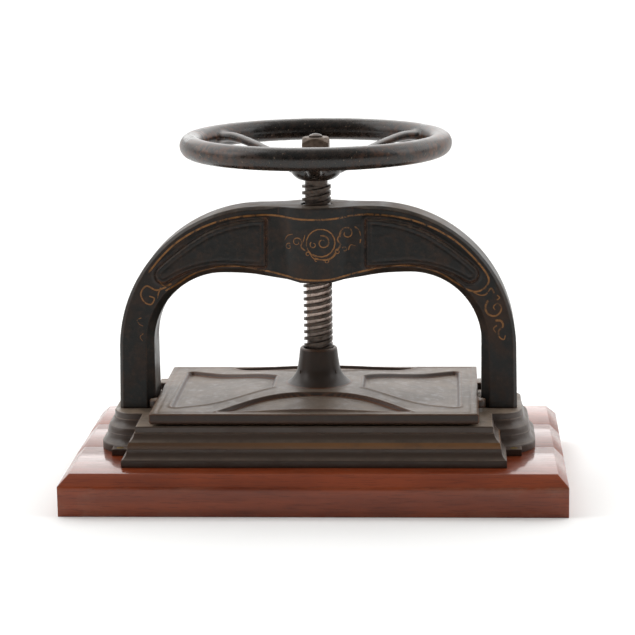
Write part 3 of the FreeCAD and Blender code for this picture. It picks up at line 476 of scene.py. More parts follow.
def bevelled(bm, edges, offset, segments):
    """Bevels edges, flat with one segment and rounded with more."""
    bmesh.ops.bevel(bm, geom=edges, offset=offset, affect="EDGES", segments=segments,
                    profile=0.5, material=-1)


def turned(bm, profile, steps=96):
    """Turns a profile of (radius, height) round the upright axis, as on a lathe."""
    verts = [bm.verts.new((radius, 0, height)) for radius, height in profile]
    edges = [bm.edges.new(pair) for pair in zip(verts, verts[1:])]
    made = bmesh.ops.spin(bm, geom=verts + edges, cent=(0, 0, 0), axis=(0, 0, 1),
                          angle=2 * math.pi, steps=steps, use_merge=True)
    bmesh.ops.remove_doubles(bm, verts=bm.verts, dist=1e-4)
    return made


def arc(start, end, radius, hand, count):
    """Points along an arc from start to end; hand is 1 with the centre on the left."""
    a, b = np.array(start, float), np.array(end, float)
    middle, chord = (a + b) / 2, b - a
    half = np.linalg.norm(chord) / 2
    rise = math.sqrt(max(radius ** 2 - half ** 2, 0))
    centre = middle + hand * rise * np.array([-chord[1], chord[0]]) / (2 * half)
    first = math.atan2(*(a - centre)[::-1])
    last = math.atan2(*(b - centre)[::-1])
    sweep = (last - first) % (2 * math.pi) if hand > 0 else -((first - last) % (2 * math.pi))
    return [tuple(centre + radius * np.array([math.cos(first + sweep * k / count),
                                              math.sin(first + sweep * k / count)]))
            for k in range(1, count + 1)]


def flowing(points, per_span=8):
    """A smooth line through points, each of two or more numbers."""
    p = [np.array(point, float) for point in points]
    p = [2 * p[0] - p[1]] + p + [2 * p[-1] - p[-2]]
    line = []
    for k in range(1, len(p) - 2):
        for step in range(per_span):
            t = step / per_span
            line.append(0.5 * (2 * p[k] + (p[k + 1] - p[k - 1]) * t
                               + (2 * p[k - 1] - 5 * p[k] + 4 * p[k + 1] - p[k + 2]) * t ** 2
                               + (3 * p[k] - p[k - 1] - 3 * p[k + 1] + p[k + 2]) * t ** 3))
    return line + [p[-2]]


def off_outline(outline, points):
    """Distance of each point from a closed outline, negative inside it."""
    a = np.array(outline, float)
    b = np.roll(a, -1, axis=0)
    nearest = np.full(len(points), 1e9)
    inside = np.zeros(len(points), bool)
    for start, end in zip(a, b):
        along = end - start
        share = ((points - start) @ along) / max(along @ along, 1e-12)
        foot = start + np.clip(share, 0, 1)[:, None] * along
        nearest = np.minimum(nearest, np.linalg.norm(points - foot, axis=1))
        crosses = (start[1] > points[:, 1]) != (end[1] > points[:, 1])
        slant = (end[0] - start[0]) / (end[1] - start[1]) if end[1] != start[1] else 0.0
        inside ^= crosses & (points[:, 0] < start[0] + (points[:, 1] - start[1]) * slant)
    return np.where(inside, -nearest, nearest)


def ease(value, low, high):
    t = np.clip((value - low) / (high - low), 0, 1)
    return t * t * (3 - 2 * t)


def mesh_of(name, bm):
    """Turns a bmesh into a mesh and lets the bmesh go."""
    mesh = bpy.data.meshes.new(name)
    bm.to_mesh(mesh)
    bm.free()
    return mesh


def put(name, data):
    """Puts a mesh, a lamp or a camera in the scene as an object."""
    made = bpy.data.objects.new(name, data)
    bpy.context.scene.collection.objects.link(made)
    return made


def through_modifier(bm, kind, settings):
    """Runs one modifier over a bmesh and returns the finished bmesh."""
    mesh = mesh_of("working", bm)
    obj = put("working", mesh)
    modifier = obj.modifiers.new("work", kind)
    for key, value in settings.items():
        setattr(modifier, key, value)
    shaped = obj.evaluated_get(bpy.context.evaluated_depsgraph_get())
    result = bmesh.new()
    result.from_mesh(shaped.to_mesh())
    shaped.to_mesh_clear()
    bpy.data.objects.remove(obj)
    bpy.data.meshes.remove(mesh)
    return result


def combined(bm, other, operation):
    """Joins or cuts one closed bmesh with another."""
    bmesh.ops.recalc_face_normals(other, faces=other.faces)
    bmesh.ops.recalc_face_normals(bm, faces=bm.faces)
    mesh = mesh_of("tool", other)
    tool = put("tool", mesh)
    result = through_modifier(bm, "BOOLEAN", {"operation": operation, "object": tool,
                                              "solver": "EXACT"})
    bpy.data.objects.remove(tool)
    bpy.data.meshes.remove(mesh)
    return result


def join(bm, part):
    """Adds a part's faces to a piece."""
    mesh = mesh_of("part", part)
    bm.from_mesh(mesh)
    bpy.data.meshes.remove(mesh)


def ridge(away, middle, width):
    """The height, from 0 to 1, of a rounded ridge whose middle is at one distance away."""
    return np.exp(-((away - middle) / width) ** 2)


def finished(name, bm, body, replaced, materials, crease=38):
    """Makes a piece of a bmesh in mm: turned outwards, in metres, riding on its body."""
    bmesh.ops.recalc_face_normals(bm, faces=bm.faces)
    bmesh.ops.scale(bm, vec=(MM, MM, MM), verts=bm.verts)
    mesh = mesh_of(name, bm)
    for material in materials:
        mesh.materials.append(material)
    mesh.shade_smooth()
    mesh.set_sharp_from_angle(angle=math.radians(crease))
    piece = put(name, mesh)
    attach(piece, body)
    if replaced:
        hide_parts(*replaced)
    return piece


def paint(nodes, material):
    for name in nodes:
        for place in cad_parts[name].material_slots:
            place.material = material


def press(context):
    return context.scene.nipping_press


# ---------------------------------------------------------------- the arch's shape

# Every size here is in mm. The top, the foot and the reach come from the CAD arch.
CROWN_TOP = ARCH_BOX[1].z / MM
FOOT = ARCH_BOX[0].z / MM
FOOT_REACH = ARCH_BOX[1].x / MM
WAIST, CROWN_HALF, OUTER_RADIUS = 236, 65.5, 170.5
SHOULDER = CROWN_TOP - OUTER_RADIUS
LEG_INNER, HAUNCH_RADIUS, HAUNCH = 195, 84, 171.5
INNER_CENTRE = LEG_INNER - HAUNCH_RADIUS
SOFFIT_RADIUS, SOFFIT_FLAT = 417, 18
FOOT_HALF_DEPTH, DEPTH_LOST = 36, 12
BOSS_RADIUS, BOSS_SET_BACK, BOSS_REACH = 60, 22, 32.8
FILLET_RADIUS, FILLET_REACH, FILLET_DEPTH = 20, 43.7, 45
NUT_BORE, NUT_TOP, SCREW_BORE = 24.02, 310.02, 18.55
BELOW_ARCH, ABOVE_ARCH = 200, 360
LEG_STEPS, HAUNCH_STEPS, CROWN_STEPS = 34, 172, 60
ACROSS = 52
THROUGH = 6


def arch_half_depth(x, z):
    """Half the arch's thickness at a point of its face: a taper, and the swelling boss."""
    depth = FOOT_HALF_DEPTH - (z - FOOT) * DEPTH_LOST / (CROWN_TOP - FOOT)
    reach = abs(x)
    if reach < BOSS_REACH:
        depth = max(depth, math.sqrt(BOSS_RADIUS ** 2 - x * x) - BOSS_SET_BACK)
    elif reach < FILLET_REACH:
        hollow = math.sqrt(FILLET_RADIUS ** 2 - (FILLET_REACH - reach) ** 2)
        depth = max(depth, FILLET_DEPTH - hollow)
    return depth


def arch_edges(step):
    """The outer and inner edge of the arch at a step from the right foot to the middle."""
    if step <= LEG_STEPS:
        share = step / LEG_STEPS
        return ((FOOT_REACH + (WAIST - FOOT_REACH) * share, FOOT + (SHOULDER - FOOT) * share),
                (LEG_INNER, FOOT + (HAUNCH - FOOT) * share))
    step -= LEG_STEPS
    if step <= HAUNCH_STEPS:
        turn = math.pi / 2 * step / HAUNCH_STEPS
        lift, reach = math.sin(turn), math.cos(turn)
        return ((CROWN_HALF + OUTER_RADIUS * reach, SHOULDER + OUTER_RADIUS * lift),
                (INNER_CENTRE + HAUNCH_RADIUS * reach, HAUNCH + HAUNCH_RADIUS * lift))
    left = 1 - (step - HAUNCH_STEPS) / CROWN_STEPS
    x = INNER_CENTRE * left
    arc_x = max(x, SOFFIT_FLAT) - INNER_CENTRE
    soffit = (HAUNCH + HAUNCH_RADIUS - SOFFIT_RADIUS
              + math.sqrt(SOFFIT_RADIUS ** 2 - arc_x ** 2))
    return (CROWN_HALF * left, CROWN_TOP), (x, soffit)


def panel_outline():
    """The sunk panel on the right of the arch's face, as (x, z) points."""
    line = [(59, 266), (59, 317)]
    line += arc((59, 317), (62, 320), 3, -1, 4)
    line += arc((62, 320), (132, 303), 160, -1, 24)
    line += arc((132, 303), (188, 261.5), 330, -1, 24)
    line += arc((188, 261.5), (178, 245), 9.9, -1, 14)
    line += arc((178, 245), (104, 266), 130, 1, 28)
    line += [(62, 263.2)]
    line += arc((62, 263.2), (59, 266), 3, -1, 4)[:-1]
    return line


def arch_ring():
    """The places round the arch's section: (part, share) pairs."""
    face = [k / (ACROSS - 1) for k in range(ACROSS)]
    wall = [k / (THROUGH - 1) for k in range(THROUGH)]
    parts = (("front", face), ("inner_front", (0.10, 0.38, 0.66, 0.92)),
             ("inside", wall), ("inner_back", (0.08, 0.34, 0.62, 0.90)),
             ("back", face), ("outer_back", (0.10, 0.50, 0.90)),
             ("outside", wall), ("outer_front", (0.10, 0.50, 0.90)))
    return [(part, share) for part, shares in parts for share in shares]


def arch_sheet():
    """The arch as one sewn sheet: stations along it, and its section round it."""
    half = LEG_STEPS + HAUNCH_STEPS + CROWN_STEPS
    ring = arch_ring()

    def place(station, row):
        side = 1 if station <= half else -1
        outer, inner = arch_edges(min(station, 2 * half - station))
        outer, inner = Vector(outer), Vector(inner)
        width = (inner - outer).length
        near_boss = float(ease(outer.x, 40, 64)) if outer.y > CROWN_TOP - 6 else 1.0
        bevel_out = 1.2 + 2.8 * near_boss
        bevel_in = 1.2 + 7.8 * float(ease(inner.x, 46, 84))
        part, share = ring[row % len(ring)]

        def point(inset, drop, direction):
            spot = outer.lerp(inner, inset / width)
            depth = arch_half_depth(spot.x, spot.y) - drop
            return Vector((side * spot.x, direction * depth, spot.y))

        if part in ("front", "back"):
            across = share if part == "front" else 1 - share
            return point(bevel_out + across * (width - bevel_out - bevel_in), 0,
                         -1 if part == "front" else 1)
        if part == "inner_front":
            return point(width - bevel_in * (1 - share), bevel_in * share, -1)
        if part == "inner_back":
            return point(width - bevel_in * share, bevel_in * (1 - share), 1)
        if part == "outer_back":
            return point(bevel_out * (1 - share), bevel_out * share, 1)
        if part == "outer_front":
            return point(bevel_out * share, bevel_out * (1 - share), -1)
        if part == "inside":
            front, back = point(width, bevel_in, -1), point(width, bevel_in, 1)
            return front.lerp(back, share)
        front, back = point(0, bevel_out, -1), point(0, bevel_out, 1)
        return back.lerp(front, share)

    return sheet(2 * half, len(ring), place)


def sink_panels(bm, sink, bead):
    """Presses the two panels into the faces and raises a bead round each."""
    points = np.array([(abs(v.co.x), v.co.z) for v in bm.verts])
    away = off_outline(panel_outline(), points)
    shift = bead * ridge(away, 2.4, 1.8) - sink * ease(-away, -0.6, 1.6)
    shift += 0.35 * bead * ridge(away, -6.0, 0.9)
    for vert, move, (x, z) in zip(bm.verts, shift, points):
        if abs(move) > 1e-3 and abs(vert.co.y) > arch_half_depth(x, z) - 0.6:
            vert.co.y += math.copysign(move, vert.co.y)


LINING = [(0, 320.8), (20, 321.2), (33, 322.4), (46, 324.2), (64, 325.0), (92, 322.6),
          (117, 317.0), (142, 306.8), (165, 292.8), (184, 275.2), (199, 257.2), (203.5, 246.6),
          (199.5, 238.4), (190, 233.2), (179.5, 235.2), (165.5, 242.8), (143, 256.4),
          (117, 263.4), (92, 263.9), (67, 260.4), (46, 255.6), (34, 252.4), (18, 249.4),
          (0, 248.6)]


def spiral(x, z, radius, turns, start, hand, tail=0.12):
    """A scroll: a line that winds in from radius to tail times radius."""
    steps = int(14 * turns) + 4
    line = []
    for k in range(steps + 1):
        share = k / steps
        turn = start + hand * 2 * math.pi * turns * share
        reach = radius * (1 - (1 - tail) * share ** 0.8)
        line.append((x + reach * math.cos(turn), z + reach * math.sin(turn)))
    return line


def scroll_work():
    """Generic scrolls of the lining: (line, width at the start, width at the end)."""
    deg = math.radians
    work = [
        (spiral(6.5, 293, 17.5, 1.05, deg(250), -1, 0.92), 1.2, 1.6),
        (spiral(9, 293.5, 9.0, 1.2, deg(110), -1, 0.3), 1.9, 0.9),
        (spiral(-2.5, 291, 4.2, 0.9, deg(120), 1, 0.5), 1.5, 0.8),
        (flowing([(-7, 281), (-2, 275), (5, 273.6), (13, 273), (20, 276), (24, 281)]), 1.0, 2.4),
        (spiral(1, 273, 2.6, 0.8, deg(20), 1, 0.5), 1.2, 0.7),
        (spiral(13, 271.5, 2.8, 0.9, deg(60), -1, 0.5), 1.3, 0.7),
        (spiral(37, 303, 9.0, 1.15, deg(205), -1, 0.35), 1.7, 1.0),
        (flowing([(25, 283), (29, 290), (26, 297), (31, 305)]), 2.2, 1.1),
        (spiral(26, 282, 3.4, 0.9, deg(90), 1, 0.4), 1.6, 0.8),
        (spiral(34, 284, 3.4, 0.9, deg(150), -1, 0.4), 1.5, 0.8),
        (flowing([(38, 283), (41, 289), (47, 288)]), 1.6, 0.7),
        (flowing([(46, 311), (51, 306), (53, 300)]), 1.9, 1.0),
        (flowing([(53, 296), (52, 291)]), 1.6, 1.2),
        (spiral(-22, 294, 6.5, 1.1, deg(330), 1, 0.35), 1.1, 0.6),
        (flowing([(-12, 284), (-17, 289), (-14, 296), (-12, 303)]), 1.7, 0.8),
        (spiral(-32, 288, 4.2, 1.0, deg(60), 1, 0.4), 1.0, 0.5),
        (flowing([(-27, 303), (-33, 301), (-37, 295)]), 1.0, 0.5),
        (spiral(-9, 280, 3.2, 0.9, deg(10), 1, 0.4), 1.6, 0.8),
        (flowing([(184, 233), (193, 229), (200, 230), (206, 237), (210, 231)]), 1.0, 2.2),
        (flowing([(203, 223), (199.5, 215), (202, 207), (210, 204), (216.5, 208),
                  (218, 215), (213.5, 219), (209, 215), (211, 211)]), 2.6, 1.2),
        (flowing([(213, 223), (216, 226), (213, 229)]), 2.0, 0.9),
        (flowing([(211, 199), (218, 198), (220, 192), (215, 186), (216, 179), (221, 176),
                  (223, 181)]), 2.6, 1.2),
        (flowing([(213, 193), (209, 189), (212, 184)]), 1.9, 0.8),
        (flowing([(-172, 244), (-180, 241), (-188, 248)]), 2.6, 1.0),
        (flowing([(-178, 240), (-190, 236), (-202, 241), (-209, 232), (-205, 222),
                  (-197, 219), (-193, 226), (-199, 229)]), 2.0, 1.5),
        (flowing([(-185, 239), (-188, 232), (-189, 226)]), 2.0, 0.8),
        (flowing([(-209, 203), (-214, 200), (-211, 195), (-207, 193)]), 1.2, 0.6),
        (flowing([(-207, 184), (-211, 180), (-208, 175)]), 1.1, 0.5),
    ]
    return work


def ribbon(face, line, start_width, end_width, proud=0.10):
    """A painted line laid on the arch's front face, which is read from its mesh."""
    line = [Vector(point[:2]) for point in line]
    count = len(line) - 1

    def place(column, row):
        before, after = line[max(column - 1, 0)], line[min(column + 1, count)]
        along = (after - before).normalized()
        width = start_width + (end_width - start_width) * column / count
        if column in (0, count):
            width *= 0.5
        spot = line[column] + Vector((-along.y, along.x)) * width * (row / 2 - 0.5)
        hit = face.ray_cast(Vector((spot.x, -200, spot.y)), Vector((0, 1, 0)))[0]
        if hit is None:
            raise RuntimeError(f"the lining leaves the arch at {spot}")
        return Vector((spot.x, hit.y - proud, spot.y))

    return sheet(count, 2, place)


# ---------------------------------------------------------------- operators

class NIPPRESS_OT_plinth(bpy.types.Operator):
    """Model the three mahogany boards of the plinth"""
    bl_idname = "nippress.plinth"
    bl_label = "Plinth"

    def execute(self, context):
        settings, finish = press(context).plinth, press(context).finish
        low = Vector([min(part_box(name)[0][k] for name in BOARDS) for k in range(3)]) / MM
        high = Vector([max(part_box(name)[1][k] for name in BOARDS) for k in range(3)]) / MM
        bevel, arris = settings.bevel / MM, settings.arris / MM
        for count, name in enumerate(BOARDS):
            bottom, top = (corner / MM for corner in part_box(name))
            bm = bmesh.new()
            bmesh.ops.create_cube(bm, size=1)
            bmesh.ops.scale(bm, vec=top - bottom, verts=bm.verts)
            bmesh.ops.translate(bm, vec=(top + bottom) / 2, verts=bm.verts)
            outer = [edge for edge in bm.edges
                     if all(abs(v.co.z - high.z) < 0.01 for v in edge.verts)
                     and (all(abs(v.co.x) > high.x - 0.01 for v in edge.verts)
                          and abs(edge.verts[0].co.x - edge.verts[1].co.x) < 0.01
                          or all(v.co.y < low.y + 0.01 for v in edge.verts)
                          or all(v.co.y > high.y - 0.01 for v in edge.verts))]
            bevelled(bm, outer, bevel, 1)
            sharp = [edge for edge in bm.edges if edge.calc_face_angle(0) > 0.2]
            bevelled(bm, sharp, arris, 2)
            wood = varnished_mahogany(finish, f"varnished_mahogany_{count + 1}",
                                      (1.7 * count, 0.31 * count, 0.9 * count))
            finished(f"board_{name.split('_')[-1]}", bm, "root", [name], [wood], 25)
        return {"FINISHED"}


class NIPPRESS_OT_base(bpy.types.Operator):
    """Finish the base casting and the fixings that hold it and the arch"""
    bl_idname = "nippress.base"
    bl_label = "Base and fixings"

    def execute(self, context):
        finish = press(context).finish
        base = japanned_iron(finish, "japanned_iron_base", finish.japan_base, 0.5, 1.8, 0.55, 0.9,
                             GILT_BAND, BED_TOP)
        paint(["base_casting"], base)
        dark = bare_metal("wrought_iron_blackened", linear("#37332f"), linear("#7a7065"),
                          linear("#1e1a17"), 0.6, 0.5, 0.8)
        paint([*BOLTS, *WASHERS, "nut_set_screw"], dark)
        brass = bare_metal("brass_dulled", finish.brass, linear("#c9ad6e"),
                           linear("#4b3a20"), 0.9, 0.4, 0.5)
        paint(LUG_SCREWS, brass)
        return {"FINISHED"}


class NIPPRESS_OT_arch(bpy.types.Operator):
    """Model the arch with its bevels, boss and beaded panels, and finish its nut"""
    bl_idname = "nippress.arch"
    bl_label = "Arch"

    def execute(self, context):
        settings, finish = press(context).arch, press(context).finish
        bm = arch_sheet()
        close_ends(bm)
        sink_panels(bm, settings.sink / MM, settings.bead / MM)
        bore = bmesh.new()
        turned(bore, [(0, BELOW_ARCH), (NUT_BORE, BELOW_ARCH), (NUT_BORE, NUT_TOP),
                      (SCREW_BORE, NUT_TOP), (SCREW_BORE, ABOVE_ARCH), (0, ABOVE_ARCH)])
        bm = combined(bm, bore, "DIFFERENCE")
        iron = japanned_iron(finish, "japanned_iron_arch", finish.japan, 0.28, 2.6, 0.55, 0.95)
        finished("arch_frame_cast", bm, "root", ["arch_frame"], [iron])
        bronze = bare_metal("cast_bronze_oiled", finish.bronze, linear("#9a865f"),
                            linear("#2c241b"), 0.8, 0.45, 0.8)
        paint(["arch_nut"], bronze)
        return {"FINISHED"}


class NIPPRESS_OT_lining(bpy.types.Operator):
    """Paint the gilt lining and scrolls on the arch's face"""
    bl_idname = "nippress.lining"
    bl_label = "Gilt lining"

    def execute(self, context):
        settings, finish = press(context).arch, press(context).finish
        arch = bpy.data.objects["arch_frame_cast"]
        vertices = [vert.co / MM for vert in arch.data.vertices]
        face = BVHTree.FromPolygons(vertices, [p.vertices[:] for p in arch.data.polygons])
        paint_finish = gilt_lining(finish)
        width = settings.lining / MM
        left_top = [(-x, z) for x, z in LINING[10:0:-1]]
        left_low = [(-x, z) for x, z in LINING[-2:13:-1]]
        whole = flowing(left_top + LINING + left_low)
        gilt = ribbon(face, whole, width, width)
        finished("lining_border", gilt, "root", [], [paint_finish])
        bm = bmesh.new()
        for line, start, end in scroll_work():
            join(bm, ribbon(face, line, start, end))
        finished("lining_scrolls", bm, "root", [], [paint_finish])
        return {"FINISHED"}


class NIPPRESS_OT_platen(bpy.types.Operator):
    """Model the platen with its beaded panels, ribs, boss and ears"""
    bl_idname = "nippress.platen"
    bl_label = "Platen"

    HALF_LENGTH = 190.5
    EAR_OFFSET, EAR_RADIUS, EAR_DEPTH, EAR_MIDDLE = 47, 9, 9, 103

    def execute(self, context):
        settings, finish = press(context).platen, press(context).finish
        floor, rim, hub = settings.floor / MM, settings.rim / MM, settings.hub / MM
        low, high = PLATEN_BOX[0] / MM, PLATEN_BOX[1] / MM
        half_x, half_y = self.HALF_LENGTH, high.y
        side = [(54, -30)] + arc((54, -30), (162, -94), 420, 1, 24)
        side += arc((162, -94), (168, -88), 6, 1, 5) + [(168, 88)]
        side += arc((168, 88), (162, 94), 6, 1, 5)
        side += arc((162, 94), (54, 30), 420, 1, 24)
        lens = [(-112, 116), (112, 116)] + arc((112, 116), (-112, 116), 139, -1, 60)[:-1]
        columns, rows = 254, 170

        def flat(column, row):
            return Vector((half_x * (2 * column / columns - 1),
                           half_y * (2 * row / rows - 1), rim))

        bm = sheet(columns, rows, flat)
        points = np.array([(abs(v.co.x), v.co.y) for v in bm.verts])
        away_side = off_outline(side, points)
        away_lens = off_outline(lens, np.abs(points))
        away = np.minimum(away_side, away_lens)
        reach = np.hypot(points[:, 0], points[:, 1])
        crown = rim + (hub - rim) * ease(160 - reach, 0, 100)
        edge = np.minimum(half_x - points[:, 0], half_y - np.abs(points[:, 1]))
        sunk = np.maximum(floor, crown - settings.panel / MM)
        height = crown - (crown - sunk) * ease(-away, -0.6, 2.4)
        height += 1.1 * ridge(away, 2.6, 1.9) + 0.4 * ridge(away, -8.0, 1.5)
        height = rim + (height - rim) * ease(edge, 3, 12)
        height -= 0.7 * ridge(edge, 8, 1.3) + 0.8 * (edge < 0.1)
        for vert, z in zip(bm.verts, height):
            vert.co.z = z
        walls = [(0.0, -1.2), (0.0, -5.0), (0.0, -9.6), (-1.0, -11.6), (-1.8, low.z - rim)]
        for inset, drop in walls:
            ring = [e for e in bm.edges if e.is_boundary]
            made = bmesh.ops.extrude_edge_only(bm, edges=ring)["geom"]
            for vert in (g for g in made if isinstance(g, bmesh.types.BMVert)):
                vert.co.x = math.copysign(min(abs(vert.co.x), half_x + inset), vert.co.x)
                vert.co.y = math.copysign(min(abs(vert.co.y), half_y + inset), vert.co.y)
                vert.co.z = rim + drop
        close_ends(bm)
        boss = [(0, 112), (40, 112), (39.6, 117.2)]
        boss += arc((38.5, 118.6), (25, 139), 26, -1, 14)
        boss += [(23.6, 148), (22.5, 158), (22.1, 159.8), (21, 161), (19, 161.2), (18.2, 160.6),
                 (18.2, 155), (0, 155)]
        turned(bm, boss, 96)
        for x in (-half_x, half_x):
            for y in (-self.EAR_OFFSET, self.EAR_OFFSET):
                place = Matrix.Translation((x, y, self.EAR_MIDDLE))
                ear = bmesh.ops.create_cone(bm, cap_ends=True, segments=48, matrix=place,
                                            radius1=self.EAR_RADIUS, radius2=self.EAR_RADIUS,
                                            depth=self.EAR_DEPTH)
                ends = {e for v in ear["verts"] for e in v.link_edges
                        if e.calc_face_angle(0) > 1}
                bevelled(bm, list(ends), 1.2, 3)
        finished("platen_cast", bm, "platen", ["platen"],
                 [platen_iron(finish)], 42)
        button = bare_metal("turned_steel_dark", finish.steel, finish.rubbed_steel_and_highlight,
                            linear("#211b16"), 0.8, 0.4, 0.5)
        paint(["platen_pin_front", "platen_pin_back", "thrust_button"], button)
        return {"FINISHED"}


class NIPPRESS_OT_wheel(bpy.types.Operator):
    """Model the handwheel as one casting: rim, hub and three flared spokes"""
    bl_idname = "nippress.wheel"
    bl_label = "Handwheel"

    RIM_HEIGHT = 406.5
    # Along the spoke: distance from the screw's axis, height, depth, width.
    SPOKES = ((10, 378.5, 27, 24), (14, 378.5, 27, 24), (36, 382.2, 24.5, 23),
              (64, 390.7, 13, 22), (92, 401.5, 8.8, 22), (118, 407.3, 11, 23),
              (136, 407.0, 12.3, 27), (150, 406.8, 13, 30))

    def execute(self, context):
        settings, finish = press(context).wheel, press(context).finish
        section = settings.rim / MM
        radius = WHEEL_BOX[1].x / MM - section
        bm = bmesh.new()
        turned(bm, [(0, 363.5), (19, 363.5), (23, 365.5), (28, 369.5), (30, 374), (29, 378.5),
                    (25, 382), (22.4, 386), (22, 392.8), (20.8, 394), (0, 394)], 96)
        circle = bmesh.ops.create_circle(bm, segments=40, radius=section,
                                         matrix=Matrix.Translation((radius, 0, self.RIM_HEIGHT))
                                         @ Matrix.Rotation(math.pi / 2, 4, "X"))["verts"]
        loop = list({edge for vert in circle for edge in vert.link_edges})
        bmesh.ops.spin(bm, geom=circle + loop, cent=(0, 0, 0), axis=(0, 0, 1),
                       angle=2 * math.pi, steps=220, use_merge=True)
        line = flowing(self.SPOKES, 8)
        for azimuth in (270, 30, 150):
            turn = Matrix.Rotation(math.radians(azimuth), 3, "Z")

            def place(column, row):
                along, z, tall, wide = line[row]
                angle = 2 * math.pi * (column % 36) / 36
                return turn @ Vector((along, wide / 2 * math.cos(angle),
                                      z + tall / 2 * math.sin(angle)))

            spoke = sheet(36, len(line) - 1, place)
            close_ends(spoke)
            join(bm, spoke)
        bmesh.ops.remove_doubles(bm, verts=bm.verts, dist=1e-4)
        bmesh.ops.recalc_face_normals(bm, faces=bm.faces)
        bm = through_modifier(bm, "REMESH", {"mode": "VOXEL", "voxel_size": settings.grain / MM,
                                             "use_smooth_shade": True})
        for _ in range(9):
            bmesh.ops.smooth_vert(bm, verts=bm.verts, factor=0.5, use_axis_x=True,
                                  use_axis_y=True, use_axis_z=True)
        finished("handwheel_cast", bm, "spindle", ["handwheel"],
                 [handled_iron(finish)], 60)
        fixing = bare_metal("wrought_iron_browned", linear("#6b5a4b"), linear("#a08f7e"),
                            linear("#3c2e24"), 0.35, 0.5, 1.4)
        paint(["wheel_washer", "wheel_nut"], fixing)
        return {"FINISHED"}


class NIPPRESS_OT_screw(bpy.types.Operator):
    """Finish the two-start screw"""
    bl_idname = "nippress.screw"
    bl_label = "Screw"

    def execute(self, context):
        paint(["screw_spindle"], thread_steel(press(context).finish))
        return {"FINISHED"}


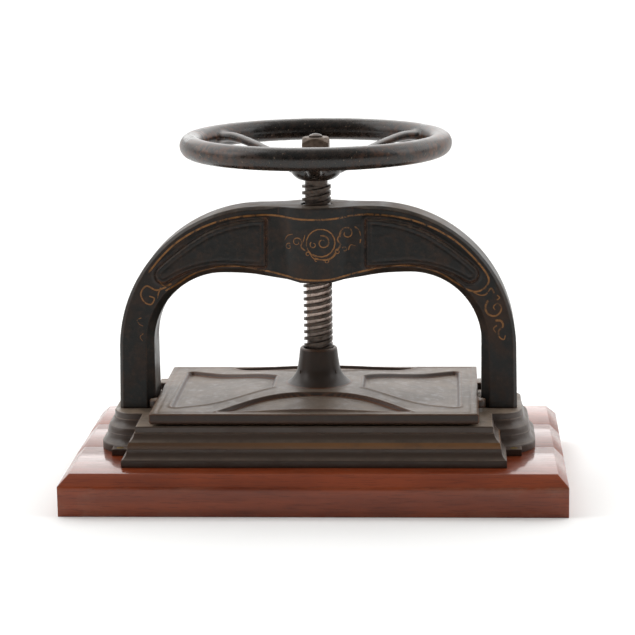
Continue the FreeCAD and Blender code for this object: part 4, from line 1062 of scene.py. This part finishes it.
class NIPPRESS_OT_stage(bpy.types.Operator):
    """Set the pale floor, the soft lights and the camera"""
    bl_idname = "nippress.stage"
    bl_label = "Stage"

    WINDOWS = (
        # name, the way its light travels, strength (W/m2)
        ("diffused_window_left", (0.75, -0.20, -0.65), 1.4),
        ("diffused_window_right", (-0.75, -0.28, -0.60), 1.2),
        ("diffused_window_back", (0.05, -0.85, -0.50), 0.9),
    )
    LIGHTS = (
        # name, place, size (m), power (W), aim
        ("softbox_left", (-2.1, -0.6, 1.2), (0.6, 1.6), 8, (0, 0, 0.25)),
        ("softbox_right", (2.3, -0.3, 1.1), (0.6, 1.6), 7, (0, 0, 0.25)),
    )

    def execute(self, context):
        settings, finish = press(context).stage, press(context).finish
        scene = context.scene
        bm = bmesh.new()
        bmesh.ops.create_grid(bm, x_segments=8, y_segments=8, size=40)
        mesh = mesh_of("floor", bm)
        material, tree, shader, place = new_finish("matt_paper_floor")
        tone = build_up(tree, rgba(finish.floor),
                        [(patches(tree, place, 900, 0.4, 0.7), shade(finish.floor, 0.985))])
        connect(tree, shader, {"Base Color": tone, "Roughness": 0.9,
                               "Specular IOR Level": 0.1})
        mesh.materials.append(material)
        put("floor", mesh)
        for name, spot, size, power, aim in self.LIGHTS:
            lamp = self.hang(name, "AREA", Vector(aim) - Vector(spot), power)
            lamp.location = spot
            lamp.data.shape = "RECTANGLE"
            lamp.data.size, lamp.data.size_y = size
        for name, towards, strength in self.WINDOWS:
            self.hang(name, "SUN", Vector(towards), strength).data.angle = 1.0
        self.light_world(scene)
        self.place_camera(scene, settings)
        scene.view_settings.view_transform = "Standard"
        return {"FINISHED"}

    def hang(self, name, kind, towards, energy):
        """Hangs a lamp that shines one way."""
        lamp = put(name, bpy.data.lights.new(name, kind))
        lamp.data.energy = energy
        lamp.rotation_euler = towards.to_track_quat("-Z", "Y").to_euler()
        return lamp

    def light_world(self, scene):
        """Soft white room: bright behind, dimmer overhead, dark in front."""
        world = bpy.data.worlds.new("soft_room")
        world.use_nodes = True
        tree = world.node_tree
        tree.nodes.clear()
        way = add(tree, "ShaderNodeTexCoord").outputs["Generated"]
        parts = add(tree, "ShaderNodeSeparateXYZ", {0: way})
        above = ramp(tree, parts.outputs[2], 0.3, 1.0, 0.10, 0.40)
        behind = ramp(tree, parts.outputs[1], -0.1, 0.7, 0.0, 0.95)
        strength = add(tree, "ShaderNodeMath", {0: above, 1: behind}, operation="ADD")
        glow = add(tree, "ShaderNodeBackground",
                   {"Color": (1, 0.995, 0.985, 1), "Strength": strength.outputs[0]})
        add(tree, "ShaderNodeOutputWorld", {"Surface": glow.outputs[0]})
        scene.world = world

    def place_camera(self, scene, settings):
        sin_t, cos_t = math.sin(settings.turn), math.cos(settings.turn)
        sin_d, cos_d = math.sin(settings.down), math.cos(settings.down)
        ahead = Vector((sin_t * cos_d, cos_t * cos_d, -sin_d))
        right = Vector((cos_t, -sin_t, 0))
        upward = right.cross(ahead)
        sin_r, cos_r = math.sin(settings.roll), math.cos(settings.roll)
        across = cos_r * right - sin_r * upward
        up = sin_r * right + cos_r * upward
        data = bpy.data.cameras.new("camera")
        data.lens = settings.lens
        data.sensor_width = 36
        data.clip_end = 200
        camera = put("camera", data)
        camera.matrix_world = Matrix.Translation(settings.place) @ Matrix(
            (across, up, -ahead)).transposed().to_4x4()
        scene.camera = camera


class NIPPRESS_PT_panel(bpy.types.Panel):
    """Lists the press's settings and the steps that make it"""
    bl_idname = "NIPPRESS_PT_panel"
    bl_label = "Nipping press"
    bl_space_type = "VIEW_3D"
    bl_region_type = "UI"
    bl_category = "Press"

    def draw(self, context):
        settings = press(context)
        for group in ("plinth", "arch", "wheel", "platen", "finish", "stage"):
            box = self.layout.box()
            box.label(text=group.capitalize())
            values = getattr(settings, group)
            for key in type(values).__annotations__:
                box.prop(values, key)
        for operator in OPERATORS:
            self.layout.operator(operator.bl_idname)


SETTINGS = (PlinthSettings, ArchSettings, WheelSettings, PlatenSettings, FinishSettings,
             StageSettings, PressSettings)
OPERATORS = (NIPPRESS_OT_stage, NIPPRESS_OT_plinth, NIPPRESS_OT_base, NIPPRESS_OT_arch,
             NIPPRESS_OT_lining, NIPPRESS_OT_platen, NIPPRESS_OT_wheel, NIPPRESS_OT_screw)


def register():
    for item in (*SETTINGS, *OPERATORS, NIPPRESS_PT_panel):
        bpy.utils.register_class(item)
    bpy.types.Scene.nipping_press = PointerProperty(type=PressSettings)


def unregister():
    del bpy.types.Scene.nipping_press
    for item in reversed((*SETTINGS, *OPERATORS, NIPPRESS_PT_panel)):
        bpy.utils.unregister_class(item)


def main():
    register()
    for operator in OPERATORS:
        getattr(bpy.ops.nippress, operator.bl_idname.split(".")[1])()


if __name__ == "__main__":
    main()
